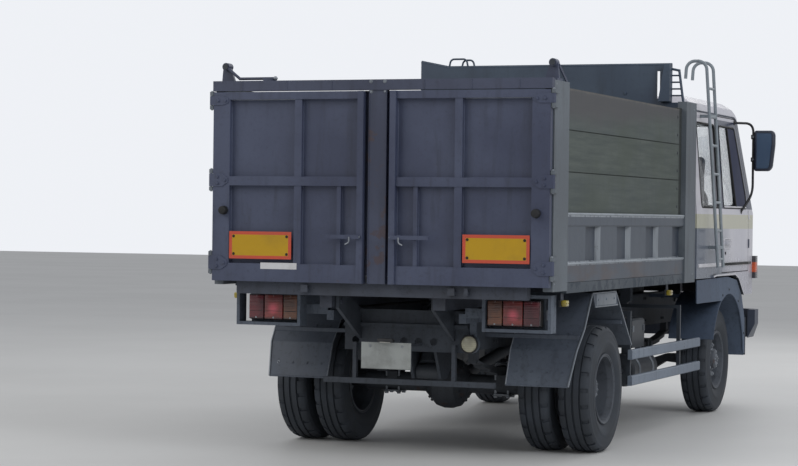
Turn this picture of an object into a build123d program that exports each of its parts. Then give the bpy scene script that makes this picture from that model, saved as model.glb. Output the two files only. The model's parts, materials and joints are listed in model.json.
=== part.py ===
"""Two-axle tipping truck: cab over engine, twin rear wheels, double-leaf rear gate. Sizes in mm."""
import os
from collections import namedtuple
from math import cos, radians, sin

from build123d import *

os.makedirs("parts", exist_ok=True)

gap = 6.0
running_gap = 0.05
both = (-1, 1)
names = {-1: "left", 1: "right"}

# Wheels and axles. Lengths are counted forward (+Y) from the gate plane, the rear face of the load space.
tyre_radius = 404.0
tyre_width = 222.0
rim_radius = 216.0
rim_width = 168.0
rim_skin = 8.0
twin_pitch = 262.0
rear_track = 1664.0
front_track = 1726.0
rear_axle_y = 1272.0
wheelbase = 3420.0
front_axle_y = rear_axle_y + wheelbase
king_pin_x = front_track / 2 - 138.0
king_pin_radius = 22.0
spindle_radius = 30.0
hub_radius = 78.0
front_overhang = 1063.0
front_reach = front_axle_y + front_overhang
rear_reach = 78.0
gate_y = (rear_reach - front_reach) / 2

# Frame.
rail_out = 415.0
rail_flange = 75.0
rail_skin = 8.0
rail_bottom = 660.0
rail_depth = 250.0
rail_top = rail_bottom + rail_depth
frame_end = 500.0
frame_front = front_reach - 210.0
pivot_y = 160.0
pivot_z = rail_top + 55.0
pivot_pin_radius = 20.0
arm_skin = 22.0

# Cab.
cab_half = 1050.0
cab_rear = front_axle_y - 1042.0
cab_front = front_reach - 135.0
cab_skin = 45.0
cab_floor = rail_top + 190.0
cab_under = cab_floor - 38.0
cab_top = 2440.0
belt_z = 1530.0
engine_rear = front_axle_y - 832.0
engine_top = 1240.0
door_rear = front_axle_y - 252.0
door_front = cab_front - 290.0
door_foot = cab_floor - 10.0
door_head = cab_top - 155.0
pane_foot = belt_z + 55.0
pane_head = cab_top - 225.0
cab_pivot_y = cab_front - 120.0
cab_pivot_z = rail_top - 30.0
cab_pin_radius = 18.0

# Load body.
body_half = 1100.0
wall_out = body_half - 5.0
wall_in = wall_out - 50.0
cab_clearance = 270.0
bed_front = cab_rear - cab_clearance
floor_under = rail_top + 195.0
floor_skin = 20.0
floor_top = floor_under + floor_skin
sill_under = floor_under - 65.0
sill_in = wall_out - 75.0
runner_in = rail_out - 85.0
runner_out = rail_out - 5.0
runner_under = rail_top + 16.0
post_start = 15.0
post_end = 305.0
post_in = body_half - 60.0
post_foot = floor_under - 50.0
front_post_start = bed_front - 290.0
header_top = 2312.0
front_post_top = header_top + 18.0
side_rail_top = 1518.0
side_rail_under = side_rail_top - 78.0
lower_rail_top = floor_top + 100.0
board_skin = 35.0
board_top = header_top - 40.0
wall_y = bed_front - 180.0
wall_skin = 22.0
guard_half = body_half - 137.0
guard_height = 272.0
guard_top = front_post_top + guard_height

# Gate.
gate_foot = floor_under - 25.0
gate_head = header_top - 69.0
gate_rail = 1669.0
centre_post_half = 58.0
leaf_inner = centre_post_half + 27.0
leaf_outer = body_half - 7.0
leaf_front = 5.0
leaf_sheet = 8.0
leaf_frame = 36.0
hinge_x = body_half + 8.0
hinge_y = -30.0
hinge_radius = 14.0

side_plane = Plane(origin=(0, gate_y, 0), x_dir=(0, 1, 0), z_dir=(1, 0, 0))
plan_plane = Plane(origin=(0, gate_y, 0), x_dir=(1, 0, 0), z_dir=(0, 0, 1))
cross_plane = Plane(origin=(0, gate_y, 0), x_dir=(1, 0, 0), z_dir=(0, -1, 0))


def block(x, y, z, mode=Mode.ADD):
    """Box between pairs of values, y counted from the gate plane."""
    low, high = min(x), max(x)
    with Locations(((low + high) / 2, gate_y + (y[0] + y[1]) / 2, (z[0] + z[1]) / 2)):
        Box(high - low, y[1] - y[0], z[1] - z[0], mode=mode)


def bar_x(radius, x, y, z, mode=Mode.ADD):
    """Round bar along X between a pair of x values."""
    with Locations(Location(((x[0] + x[1]) / 2, gate_y + y, z), (0, 90, 0))):
        Cylinder(radius, abs(x[1] - x[0]), mode=mode)


def bar_y(radius, x, y, z, mode=Mode.ADD):
    """Round bar along Y between a pair of y values."""
    with Locations(Location((x, gate_y + (y[0] + y[1]) / 2, z), (90, 0, 0))):
        Cylinder(radius, abs(y[1] - y[0]), mode=mode)


def bar_z(radius, x, y, z, mode=Mode.ADD):
    """Round bar along Z between a pair of z values."""
    with Locations((x, gate_y + y, (z[0] + z[1]) / 2)):
        Cylinder(radius, abs(z[1] - z[0]), mode=mode)


def side_plate(points, x, mode=Mode.ADD):
    """Plate with a (y, z) outline between a pair of x values."""
    low, high = min(x), max(x)
    with BuildSketch(side_plane.offset(low)) as outline:
        with BuildLine():
            Polyline(*points, close=True)
        make_face()
    extrude(outline.sketch, amount=high - low, mode=mode)


def cross_plate(points, y, mode=Mode.ADD):
    """Plate or section with an (x, z) outline between a pair of y values."""
    with BuildSketch(cross_plane.offset(-y[1])) as outline:
        with BuildLine():
            Polyline(*points, close=True)
        make_face()
    extrude(outline.sketch, amount=y[1] - y[0], mode=mode)


def plan_plate(points, z, mode=Mode.ADD):
    """Plate with an (x, y) outline between a pair of z values."""
    with BuildSketch(plan_plane.offset(z[0])) as outline:
        with BuildLine():
            Polyline(*points, close=True)
        make_face()
    extrude(outline.sketch, amount=z[1] - z[0], mode=mode)


def tube(points, radius, bend=0.0):
    """Round tube along (x, y, z) points, with rounded bends where bend is given."""
    placed = [(x, gate_y + y, z) for x, y, z in points]
    with BuildLine() as path:
        if bend:
            FilletPolyline(*placed, radius=bend)
        else:
            Polyline(*placed)
    with BuildSketch(Plane(origin=path.line @ 0, z_dir=path.line % 0)) as section:
        Circle(radius)
    sweep(section.sketch, path=path.line, transition=Transition.RIGHT)


def ring(profile, y, z):
    """Solid of revolution about the X line through (y, z); profile holds (x, radius) points."""
    with BuildSketch(Plane(origin=(0, gate_y + y, z), x_dir=(1, 0, 0), z_dir=(0, -1, 0))) as section:
        with BuildLine():
            Polyline(*profile, close=True)
        make_face()
    revolve(section.sketch, axis=Axis((0, gate_y + y, z), (1, 0, 0)))


def save(name, part):
    part.label = name
    export_step(part, "parts/" + name + ".step")


# The frame: two channel rails, the cross pieces between them and the cab's pins and rests.
with BuildPart() as frame_rails:
    for side in both:
        channel = [
            (side * rail_out, rail_bottom),
            (side * rail_out, rail_top),
            (side * (rail_out - rail_flange), rail_top),
            (side * (rail_out - rail_flange), rail_top - rail_skin),
            (side * (rail_out - rail_skin), rail_top - rail_skin),
            (side * (rail_out - rail_skin), rail_bottom + rail_skin),
            (side * (rail_out - rail_flange), rail_bottom + rail_skin),
            (side * (rail_out - rail_flange), rail_bottom),
        ]
        cross_plate(channel, (frame_end, frame_front))
save("frame_rails", frame_rails.part)

CrossPiece = namedtuple("CrossPiece", "y width foot head")
cross_pieces = [
    CrossPiece(rear_axle_y + 558, 90, rail_bottom + 40, rail_top - 30),
    CrossPiece(rear_axle_y + 1248, 90, rail_bottom + 40, rail_top - 30),
    CrossPiece(engine_rear - 690, 90, rail_bottom + 80, rail_top - 30),
    CrossPiece(frame_front - 60, 60, rail_bottom + 20, rail_top - 20),
]
between_rails = rail_out - rail_skin
hoist_foot_y = rear_axle_y - 372.0
hoist_foot_z = rail_bottom - 160.0
hoist_pin_radius = 22.0
hoist_cheek = 82.0
cheek_skin = 20.0

with BuildPart() as cross_members:
    block((-rail_out, rail_out), (frame_end - 14, frame_end), (rail_bottom - 10, rail_top - 2))
    for hole_x in (-341, -17, 83, 183):
        bar_y(24, hole_x, (frame_end - 30, frame_end + 10), rail_bottom + 52, Mode.SUBTRACT)
    for lip in ((rail_top - 112, rail_top - 88), (rail_top - 22, rail_top - 2)):
        block((-rail_out + 2, rail_out - 2), (frame_end - 36, frame_end - 14), lip)
    for side in both:
        arm_x = (side * (runner_in - gap - arm_skin), side * (runner_in - gap))
        arm_points = [
            (frame_end - 14, rail_bottom + 60),
            (frame_end - 14, rail_top),
            (pivot_y + 60, pivot_z + 42),
            (pivot_y - 42, pivot_z + 42),
            (pivot_y - 42, pivot_z - 42),
        ]
        side_plate(arm_points, arm_x)
        bar_x(pivot_pin_radius + running_gap, (arm_x[0] * 0.9, arm_x[1] * 1.1), pivot_y, pivot_z, Mode.SUBTRACT)
        cheek_points = [
            (hoist_foot_y - 160, rail_bottom + 80),
            (hoist_foot_y + 315, rail_bottom + 80),
            (hoist_foot_y + 315, rail_bottom + 2),
            (hoist_foot_y + 50, hoist_foot_z - 45),
            (hoist_foot_y - 50, hoist_foot_z - 45),
            (hoist_foot_y - 160, rail_bottom + 2),
        ]
        side_plate(cheek_points, (side * hoist_cheek, side * (hoist_cheek + cheek_skin)))
    for piece in cross_pieces:
        block((-between_rails, between_rails), (piece.y, piece.y + piece.width), (piece.foot, piece.head))
    carrier = (rail_bottom + rail_skin, rail_top - 60)
    block((-between_rails, between_rails), (hoist_foot_y - 160, hoist_foot_y - 130), carrier)
    block((-between_rails, between_rails), (hoist_foot_y + 285, hoist_foot_y + 315), (carrier[0], rail_bottom + 80))
    bar_x(hoist_pin_radius, (-hoist_cheek - cheek_skin, hoist_cheek + cheek_skin), hoist_foot_y, hoist_foot_z)
save("cross_members", cross_members.part)

cab_rest_y = cab_rear + 110.0
with BuildPart() as cab_mounts:
    for side in both:
        bar_x(cab_pin_radius, (side * rail_out, side * (rail_out + 60)), cab_pivot_y, cab_pivot_z)
        block((side * rail_out, side * (rail_out + 12)), (cab_pivot_y - 45, cab_pivot_y + 45), (cab_pivot_z - 60, cab_pivot_z + 26))
        bracket = [
            (side * rail_out, rail_top - 110),
            (side * (rail_out + 105), rail_top - 30),
            (side * (rail_out + 105), cab_under - gap),
            (side * (rail_out + 25), cab_under - gap),
            (side * (rail_out + 25), rail_top - 10),
            (side * rail_out, rail_top - 10),
        ]
        cross_plate(bracket, (cab_rest_y, cab_rest_y + 70))
save("cab_mounts", cab_mounts.part)

gearbox_rear = engine_rear - 560.0
shaft_rise = rail_bottom + 30.0
with BuildPart() as engine:
    block((-330, 330), (engine_rear, engine_rear + 700), (rail_bottom - 20, engine_top))
    block((-330, 330), (engine_rear + 700, engine_rear + 970), (rail_bottom + 40, engine_top))
    for mount_y in (engine_rear + 100, engine_rear + 780):
        block((-between_rails, between_rails), (mount_y, mount_y + 60), (rail_bottom + 60, rail_bottom + 110))
    block((-150, 150), (gearbox_rear, gearbox_rear + 260), (rail_bottom - 20, rail_top - 10))
    block((-between_rails, between_rails), (gearbox_rear + 140, gearbox_rear + 200), (rail_bottom + 100, rail_bottom + 150))
    bell_y = gearbox_rear + 260
    box_section = (-150, 150, rail_bottom - 20, rail_top - 10)
    bell_section = (-230, 230, rail_bottom + 30, rail_top + 90)
    sections = []
    for station, (left, right, foot, head) in ((bell_y, box_section), (engine_rear, bell_section)):
        with BuildSketch(cross_plane.offset(-station)) as section:
            with Locations(((left + right) / 2, (foot + head) / 2)):
                Rectangle(right - left, head - foot)
        sections.append(section.sketch)
    loft(sections)
save("engine", engine.part)

shaft_radius = 40.0
flange_radius = 58.0
diff_radius = 165.0
nose_reach = 205.0
nose_z = tyre_radius + 22.0
with BuildPart() as propeller_shaft:
    bar_y(flange_radius, 0, (rear_axle_y + nose_reach, rear_axle_y + nose_reach + 21), nose_z)
    bar_y(flange_radius, 0, (gearbox_rear - 16, gearbox_rear), shaft_rise)
    tube([(0, rear_axle_y + nose_reach + 11, nose_z + 4), (0, gearbox_rear - 10, shaft_rise)], shaft_radius)
save("propeller_shaft", propeller_shaft.part)

axle_radius = 62.0
twin_spindle = spindle_radius + 12.0
spring_x = rail_out - 35.0
spring_half_width = 35.0
rear_seat_z = tyre_radius + 66.0
front_seat_z = tyre_radius + 88.0
wheel_inner = rear_track / 2 - twin_pitch / 2 - tyre_width / 2
with BuildPart() as rear_axle:
    bar_x(axle_radius, (-wheel_inner + 20, wheel_inner - 20), rear_axle_y, tyre_radius)
    bar_x(twin_spindle, (-rear_track / 2 - 110, rear_track / 2 + 110), rear_axle_y, tyre_radius)
    banjo = [
        (-150, 0),
        (-150, 70),
        (-70, diff_radius - 15),
        (-20, diff_radius),
        (30, diff_radius),
        (80, diff_radius - 15),
        (150, 70),
        (150, 0),
    ]
    ring(banjo, rear_axle_y, tyre_radius)
    with Locations(Location((0, gate_y + rear_axle_y + nose_reach - 55, nose_z), (-90, 0, 0))):
        Cone(120, 62, 110)
    for side in both:
        pad_x = (side * (spring_x - spring_half_width), side * (spring_x + spring_half_width))
        block(pad_x, (rear_axle_y - 60, rear_axle_y + 60), (tyre_radius, rear_seat_z))
save("rear_axle", rear_axle.part)

# Each spring is a stack of arcs about one centre, shortest leaf on the axle's seat.
leaf_bend = 2600.0
SpringSet = namedtuple("SpringSet", "axle_y seat_z thick half_lengths eye")
spring_sets = [
    SpringSet(rear_axle_y, rear_seat_z, 14.0, (240, 380, 500, 620), 600),
    SpringSet(front_axle_y, front_seat_z, 12.0, (320, 470, 600), 580),
]
with BuildPart() as leaf_springs:
    for side in both:
        for spring in spring_sets:
            outer = leaf_bend + spring.thick * len(spring.half_lengths)
            for index, half_length in enumerate(spring.half_lengths):
                with BuildSketch(side_plane.offset(side * spring_x - spring_half_width)) as leaf:
                    with Locations((spring.axle_y, spring.seat_z + outer)):
                        Circle(outer - spring.thick * index)
                        Circle(outer - spring.thick * (index + 1), mode=Mode.SUBTRACT)
                    with Locations((spring.axle_y, spring.seat_z + 60)):
                        Rectangle(2 * half_length, 400, mode=Mode.INTERSECT)
                extrude(leaf.sketch, amount=2 * spring_half_width)
            eye_z = spring.seat_z + outer - (leaf_bend**2 - spring.eye**2) ** 0.5
            for end in both:
                eye_y = spring.axle_y + end * spring.eye
                block((side * spring_x - 25, side * spring_x + 25), (eye_y - 30, eye_y + 30), (eye_z - 20, rail_bottom))
save("leaf_springs", leaf_springs.part)

boss_half = 50.0
with BuildPart() as front_axle:
    beam = [
        (-king_pin_x, tyre_radius - 40),
        (-king_pin_x, tyre_radius + 40),
        (-king_pin_x + 165, tyre_radius + 36),
        (-king_pin_x + 275, tyre_radius - 4),
        (king_pin_x - 275, tyre_radius - 4),
        (king_pin_x - 165, tyre_radius + 36),
        (king_pin_x, tyre_radius + 40),
        (king_pin_x, tyre_radius - 40),
        (king_pin_x - 165, tyre_radius - 24),
        (king_pin_x - 275, tyre_radius - 94),
        (-king_pin_x + 275, tyre_radius - 94),
        (-king_pin_x + 165, tyre_radius - 24),
    ]
    cross_plate(beam, (front_axle_y - 45, front_axle_y + 45))
    for side in both:
        pad_x = (side * (spring_x - spring_half_width), side * (spring_x + spring_half_width))
        block(pad_x, (front_axle_y - 60, front_axle_y + 60), (tyre_radius - 6, front_seat_z))
        bar_z(44, side * king_pin_x, front_axle_y, (tyre_radius - boss_half, tyre_radius + boss_half))
        bore = (tyre_radius - 80, tyre_radius + 80)
        bar_z(king_pin_radius + running_gap, side * king_pin_x, front_axle_y, bore, Mode.SUBTRACT)
save("front_axle", front_axle.part)

# Steering knuckles: a fork over and under the beam's boss, a pin and a spindle.
fork_low = tyre_radius - boss_half - gap
fork_high = tyre_radius + boss_half + gap
fork_skin = 24.0
for side in both:
    with BuildPart() as knuckle:
        depth = (front_axle_y - 34, front_axle_y + 34)
        fork = (side * (king_pin_x - 34), side * (king_pin_x + 82))
        block(fork, depth, (fork_high, fork_high + fork_skin))
        block(fork, depth, (fork_low - fork_skin, fork_low))
        cheek = (side * (king_pin_x + 56), side * (king_pin_x + 82))
        block(cheek, depth, (fork_low - fork_skin, fork_high + fork_skin))
        bar_z(king_pin_radius, side * king_pin_x, front_axle_y, (fork_low - 4, fork_high + 4))
        bar_x(spindle_radius, (side * (king_pin_x + 70), side * (front_track / 2 + 60)), front_axle_y, tyre_radius)
        steer_arm = (side * (king_pin_x - 20), side * (king_pin_x + 20))
        block(steer_arm, (front_axle_y - 190, front_axle_y - 30), (fork_low - fork_skin, fork_low - 4))
    save("knuckle_" + names[side], knuckle.part)

# Wheels.
tyre_half = tyre_width / 2
rim_half = rim_width / 2
bead = rim_radius - rim_skin
tyre_profile = [
    (-rim_half + 1, rim_radius - 2),
    (-rim_half + 1, rim_radius + 9),
    (-rim_half - 9, rim_radius + 26),
    (-tyre_half, rim_radius + 78),
    (-tyre_half + 4, rim_radius + 118),
    (-tyre_half + 18, tyre_radius - 14),
    (-tyre_half + 46, tyre_radius),
    (tyre_half - 46, tyre_radius),
    (tyre_half - 18, tyre_radius - 14),
    (tyre_half - 4, rim_radius + 118),
    (tyre_half, rim_radius + 78),
    (rim_half + 9, rim_radius + 26),
    (rim_half - 1, rim_radius + 9),
    (rim_half - 1, rim_radius - 2),
    (rim_half - 24, rim_radius - 2),
    (tyre_half - 40, rim_radius + 70),
    (tyre_half - 44, tyre_radius - 40),
    (-tyre_half + 44, tyre_radius - 40),
    (-tyre_half + 40, rim_radius + 70),
    (-rim_half + 24, rim_radius - 2),
]
rim_profile = [
    (-rim_half, rim_radius + 8),
    (-rim_half - 8, rim_radius + 8),
    (-rim_half - 8, bead - 2),
    (-rim_half + 30, bead - 10),
    (rim_half - 30, bead - 10),
    (rim_half + 8, bead - 2),
    (rim_half + 8, rim_radius + 8),
    (rim_half, rim_radius + 8),
    (rim_half, rim_radius - 2),
    (-rim_half, rim_radius - 2),
]
nut_count = 6
nut_circle = 111.0
nut_radius = 17.0
hand_hole_radius = 19.0
hand_hole_circle = bead - 34.0
hub_bore = spindle_radius + running_gap
twin_bore = twin_spindle + running_gap


def wheel_nuts(face_x, reach, y, z):
    """Ring of six wheel nuts standing out from a disc face."""
    with Locations(Location((face_x + reach / 2, gate_y + y, z), (0, 90, 0))):
        with PolarLocations(nut_circle, nut_count):
            Cylinder(nut_radius, abs(reach))


def hand_holes(x, y, z):
    """Ring of round holes through a wheel disc between a pair of x values."""
    with Locations(Location(((x[0] + x[1]) / 2, gate_y + y, z), (0, 90, 0))):
        with PolarLocations(hand_hole_circle, nut_count, start_angle=30):
            Cylinder(hand_hole_radius, abs(x[1] - x[0]), mode=Mode.SUBTRACT)


for side in both:
    centre = side * front_track / 2
    with BuildPart() as front_tyre:
        ring([(centre + x, r) for x, r in tyre_profile], front_axle_y, tyre_radius)
    save("front_tyre_" + names[side], front_tyre.part)
    with BuildPart() as front_rim:
        disc = [(20, hub_bore), (20, 150), (0, bead - 6), (12, bead - 6), (34, 150), (34, hub_bore)]
        ring([(centre + side * x, r) for x, r in disc], front_axle_y, tyre_radius)
        hand_holes((centre - side * 20, centre + side * 50), front_axle_y, tyre_radius)
        ring([(centre + x, r) for x, r in rim_profile], front_axle_y, tyre_radius)
        hub = [(-55, hub_bore), (-55, 70), (34, hub_radius), (82, 64), (92, 50), (92, 0), (66, 0), (66, hub_bore)]
        ring([(centre + side * x, r) for x, r in hub], front_axle_y, tyre_radius)
        wheel_nuts(centre + side * 34, side * 26, front_axle_y, tyre_radius)
    save("front_rim_" + names[side], front_rim.part)

for side in both:
    with BuildPart() as rear_tyres:
        for row in both:
            centre = side * rear_track / 2 + row * twin_pitch / 2
            ring([(centre + x, r) for x, r in tyre_profile], rear_axle_y, tyre_radius)
    save("rear_tyres_" + names[side], rear_tyres.part)
    with BuildPart() as rear_rims:
        middle = side * rear_track / 2
        dish = twin_pitch / 2 - rim_half - 8
        disc = [(0, twin_bore), (0, 150), (dish + 6, bead - 6), (dish + 26, bead - 6), (14, 150), (14, twin_bore)]
        ring([(middle + side * x, r) for x, r in disc], rear_axle_y, tyre_radius)
        ring([(middle - side * x, r) for x, r in disc], rear_axle_y, tyre_radius)
        hand_holes((middle - 90, middle + 90), rear_axle_y, tyre_radius)
        for row in both:
            centre = side * (rear_track / 2 + row * twin_pitch / 2)
            ring([(centre + x, r) for x, r in rim_profile], rear_axle_y, tyre_radius)
        hub = [(-120, twin_bore), (-120, 96), (0, 96), (14, 84), (150, 74), (162, 60), (162, 0), (124, 0), (124, twin_bore)]
        ring([(middle + side * x, r) for x, r in hub], rear_axle_y, tyre_radius)
        wheel_nuts(middle + side * 14, side * 30, rear_axle_y, tyre_radius)
    save("rear_rims_" + names[side], rear_rims.part)

# Fittings on the frame.
tank_in = rail_out + 65.0
tank_head = rail_bottom + 140.0
tank_y = (rear_axle_y + 1078, rear_axle_y + 2078)
box_y = (rear_axle_y + 1368, rear_axle_y + 1688)
with BuildPart() as tanks:
    block((-930, -tank_in), tank_y, (tank_head - 400, tank_head))
    fillet(tanks.edges().filter_by(Axis.Y), 60)
    for strap_y in (tank_y[0] + 200, tank_y[1] - 240):
        block((-tank_in, -rail_out), (strap_y, strap_y + 60), (tank_head - 110, tank_head - 40))
    bar_x(38, (-870, -830), tank_y[0] + 120, tank_head - 80)
    bar_z(34, -800, tank_y[0] + 120, (tank_head - 4, tank_head + 22))
with BuildPart() as battery_box:
    block((tank_in, 850), box_y, (tank_head - 210, tank_head - 8))
    chamfer(battery_box.edges().filter_by(Axis.Y).group_by(Axis.Z)[-1], 14)
    block((tank_in, 850), (box_y[0] - 6, box_y[1] + 6), (tank_head - 76, tank_head - 70))
    block((rail_out, tank_in), (box_y[0] + 130, box_y[0] + 190), (tank_head - 110, tank_head - 40))
save("tanks", Compound(children=[tanks.part, battery_box.part]))

muffler_x = rail_out + 225.0
muffler_z = rail_bottom - 260.0
muffler_y = (engine_rear - 800, engine_rear - 160)
muffler_radius = 115.0
with BuildPart() as muffler:
    bar_y(muffler_radius, muffler_x, muffler_y, muffler_z)
    fillet(muffler.edges().filter_by(GeomType.CIRCLE), 22)
    bar_y(30, muffler_x, (muffler_y[1], muffler_y[1] + 100), muffler_z)
    bar_y(30, muffler_x, (muffler_y[0] - 100, muffler_y[0]), muffler_z)
    for strap_y in (muffler_y[0] + 120, muffler_y[1] - 160):
        block((rail_out, muffler_x + 20), (strap_y, strap_y + 40), (rail_bottom + 30, rail_bottom + 60))
        block((muffler_x - 20, muffler_x + 20), (strap_y, strap_y + 40), (muffler_z + 60, rail_bottom + 60))
save("muffler", muffler.part)

bumper_half = cab_half + 25.0
bumper_foot = 540.0
bumper_top = 770.0
bumper_back = front_reach - 195.0
bumper_end = bumper_back - 60.0
lamp_in = 640.0
lamp_out = 880.0
lamp_foot = bumper_foot + 50.0
lamp_top = bumper_top - 55.0
with BuildPart() as front_bumper:
    outline = [
        (-bumper_half, bumper_end),
        (-bumper_half, front_reach - 130),
        (-bumper_half + 60, front_reach - 40),
        (-bumper_half + 190, front_reach),
        (bumper_half - 190, front_reach),
        (bumper_half - 60, front_reach - 40),
        (bumper_half, front_reach - 130),
        (bumper_half, bumper_end),
        (bumper_half - 60, bumper_end),
        (bumper_half - 60, front_reach - 150),
        (bumper_half - 200, front_reach - 70),
        (-bumper_half + 200, front_reach - 70),
        (-bumper_half + 60, front_reach - 150),
        (-bumper_half + 60, bumper_end),
    ]
    plan_plate(outline, (bumper_foot, bumper_top))
    for side in both:
        under_cut = [
            (side * (bumper_half - 60), bumper_foot - 5),
            (side * (bumper_half + 5), bumper_foot - 5),
            (side * (bumper_half + 5), bumper_foot + 122),
        ]
        cross_plate(under_cut, (bumper_end - 5, front_reach + 5), Mode.SUBTRACT)
    for side in both:
        lamp_x = (side * lamp_in, side * lamp_out)
        block(lamp_x, (front_reach - 46, front_reach + 5), (lamp_foot, lamp_top), Mode.SUBTRACT)
        bracket_x = (side * (rail_out - 60), side * (rail_out - rail_skin))
        block(bracket_x, (frame_front, front_reach - 70), (rail_bottom + 10, bumper_top - 10))
    block((-250, 250), (front_reach - 20, front_reach + 5), (bumper_foot + 60, bumper_foot + 120), Mode.SUBTRACT)
save("front_bumper", front_bumper.part)

with BuildPart() as head_lamps:
    for side in both:
        block((side * lamp_in, side * lamp_out), (front_reach - 46, front_reach - 12), (lamp_foot, lamp_top))
save("head_lamps", head_lamps.part)

guard_radius = tyre_radius + 116.0
guard_skin = 8.0
guard_in = king_pin_x - 25.0
step_foot = bumper_foot - 125.0
flare_angles = (5, 20, 35, 50, 65, 80, 95, 110, 116)
with BuildPart() as front_guards:
    for side in both:
        with BuildSketch(side_plane.offset(min(side * guard_in, side * cab_half))) as arch:
            with Locations((front_axle_y, tyre_radius)):
                Circle(guard_radius + guard_skin)
                Circle(guard_radius, mode=Mode.SUBTRACT)
            with BuildLine():
                below = [
                    (front_axle_y, tyre_radius),
                    (front_axle_y - 900, tyre_radius + 330),
                    (front_axle_y - 900, tyre_radius - 900),
                    (front_axle_y + 900, tyre_radius - 900),
                    (front_axle_y + 900, tyre_radius + 20),
                ]
                Polyline(*below, close=True)
            make_face(mode=Mode.SUBTRACT)
        extrude(arch.sketch, amount=cab_half - guard_in)
        flare = [
            (cab_rear + 22, cab_under - 18),
            (front_axle_y - 40, cab_under - 10),
            (front_axle_y + 262, cab_under - 42),
            (front_axle_y + 440, cab_under - 172),
            (front_axle_y + 548, bumper_top - 62),
            (front_axle_y + 562, step_foot + 15),
            (front_axle_y + 526, step_foot + 15),
        ]
        opening = [(front_axle_y + guard_radius * cos(radians(a)), tyre_radius + guard_radius * sin(radians(a))) for a in flare_angles]
        flare += opening + [(cab_rear + 30, tyre_radius + 468)]
        side_plate(flare, (side * (cab_half - guard_skin), side * cab_half))
        stay = (front_axle_y - 20, front_axle_y + 20)
        block((side * rail_out, side * (guard_in + 20)), stay, (rail_top - 30, rail_top - 4))
        block((side * guard_in, side * (guard_in + 20)), stay, (rail_top - 30, tyre_radius + guard_radius + 4))
save("front_guards", front_guards.part)

step_top = rail_bottom + 54.0
step_y = (front_axle_y + guard_radius + guard_skin + 46, bumper_back - 66)
step_out = cab_half - 110.0
with BuildPart() as steps:
    for side in both:
        block((side * 780, side * step_out), step_y, (step_foot, step_foot + 14))
        block((side * 780, side * step_out), step_y, (step_top - 14, step_top))
        block((side * 772, side * 780), step_y, (step_foot, step_top))
        flap = [
            (step_y[0], step_foot),
            (step_y[0] + 12, step_foot),
            (step_y[0] + 12, step_top),
            (step_y[0], step_top),
        ]
        side_plate(flap, (side * 780, side * cab_half))
        block((side * rail_out, side * 776), (step_y[0] + 180, step_y[0] + 220), (step_top - 34, step_top))
save("steps", steps.part)

GuardRail = namedtuple("GuardRail", "foot top")
guard_rails = [GuardRail(542, 608), GuardRail(366, 432)]
side_guard_y = (rear_axle_y + 838, front_axle_y - 707)
guard_bar_z = rail_top - 70.0
with BuildPart() as side_guards:
    for side in both:
        for rail in guard_rails:
            profile = [
                (side * 970, rail.foot),
                (side * 996, rail.foot),
                (side * 1002, rail.foot + 6),
                (side * 1002, rail.top - 6),
                (side * 996, rail.top),
                (side * 970, rail.top),
            ]
            cross_plate(profile, side_guard_y)
        for post_y in (side_guard_y[0] + 60, side_guard_y[1] - 487):
            block((side * 944, side * 970), (post_y, post_y + 26), (guard_rails[1].foot + 4, guard_bar_z + 26))
            block((side * rail_out, side * 944), (post_y, post_y + 26), (guard_bar_z, guard_bar_z + 26))
save("side_guards", side_guards.part)

mud_in = 600.0
mud_out = body_half - 50.0
mud_skin = 7.0
mud_top = sill_under - 18.0
mud_foot = 450.0
MudPoint = namedtuple("MudPoint", "reach z inset_reach inset_z")
mud_line = [
    MudPoint(-629, mud_foot, -629 + mud_skin, mud_foot),
    MudPoint(-541, 670, -534, 668),
    MudPoint(-427, 800, -421, 796),
    MudPoint(-262, mud_top, -259, mud_top - mud_skin),
    MudPoint(257, mud_top, 254, mud_top - mud_skin),
    MudPoint(504, 790, 498, 786),
    MudPoint(650, 652, 640, 652),
]
with BuildPart() as rear_mudguards:
    for side in both:
        outer_line = [(rear_axle_y + point.reach, point.z) for point in mud_line]
        inner_line = [(rear_axle_y + point.inset_reach, point.inset_z) for point in reversed(mud_line)]
        side_plate(outer_line + inner_line, (side * mud_in, side * mud_out))
        taper = [
            (side * (mud_out + 10), 790),
            (side * mud_out, 790),
            (side * (mud_out - 15), 670),
            (side * (mud_out - 47), mud_foot - 5),
            (side * (mud_out + 10), mud_foot - 5),
        ]
        cross_plate(taper, (rear_axle_y - 660, rear_axle_y - 420), Mode.SUBTRACT)
        valance = [
            (rear_axle_y - 262, mud_top),
            (rear_axle_y - 205, mud_top - 92),
            (rear_axle_y + 305, mud_top - 92),
            (rear_axle_y + 257, mud_top),
        ]
        side_plate(valance, (side * (mud_out - mud_skin), side * mud_out))
        bar_reach = (side * rail_out, side * (mud_out - 20))
        block(bar_reach, (rear_axle_y - 484, rear_axle_y - 452), (738, 762))
        block(bar_reach, (rear_axle_y + 452, rear_axle_y + 482), (800, 824))
save("rear_mudguards", rear_mudguards.part)

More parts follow.
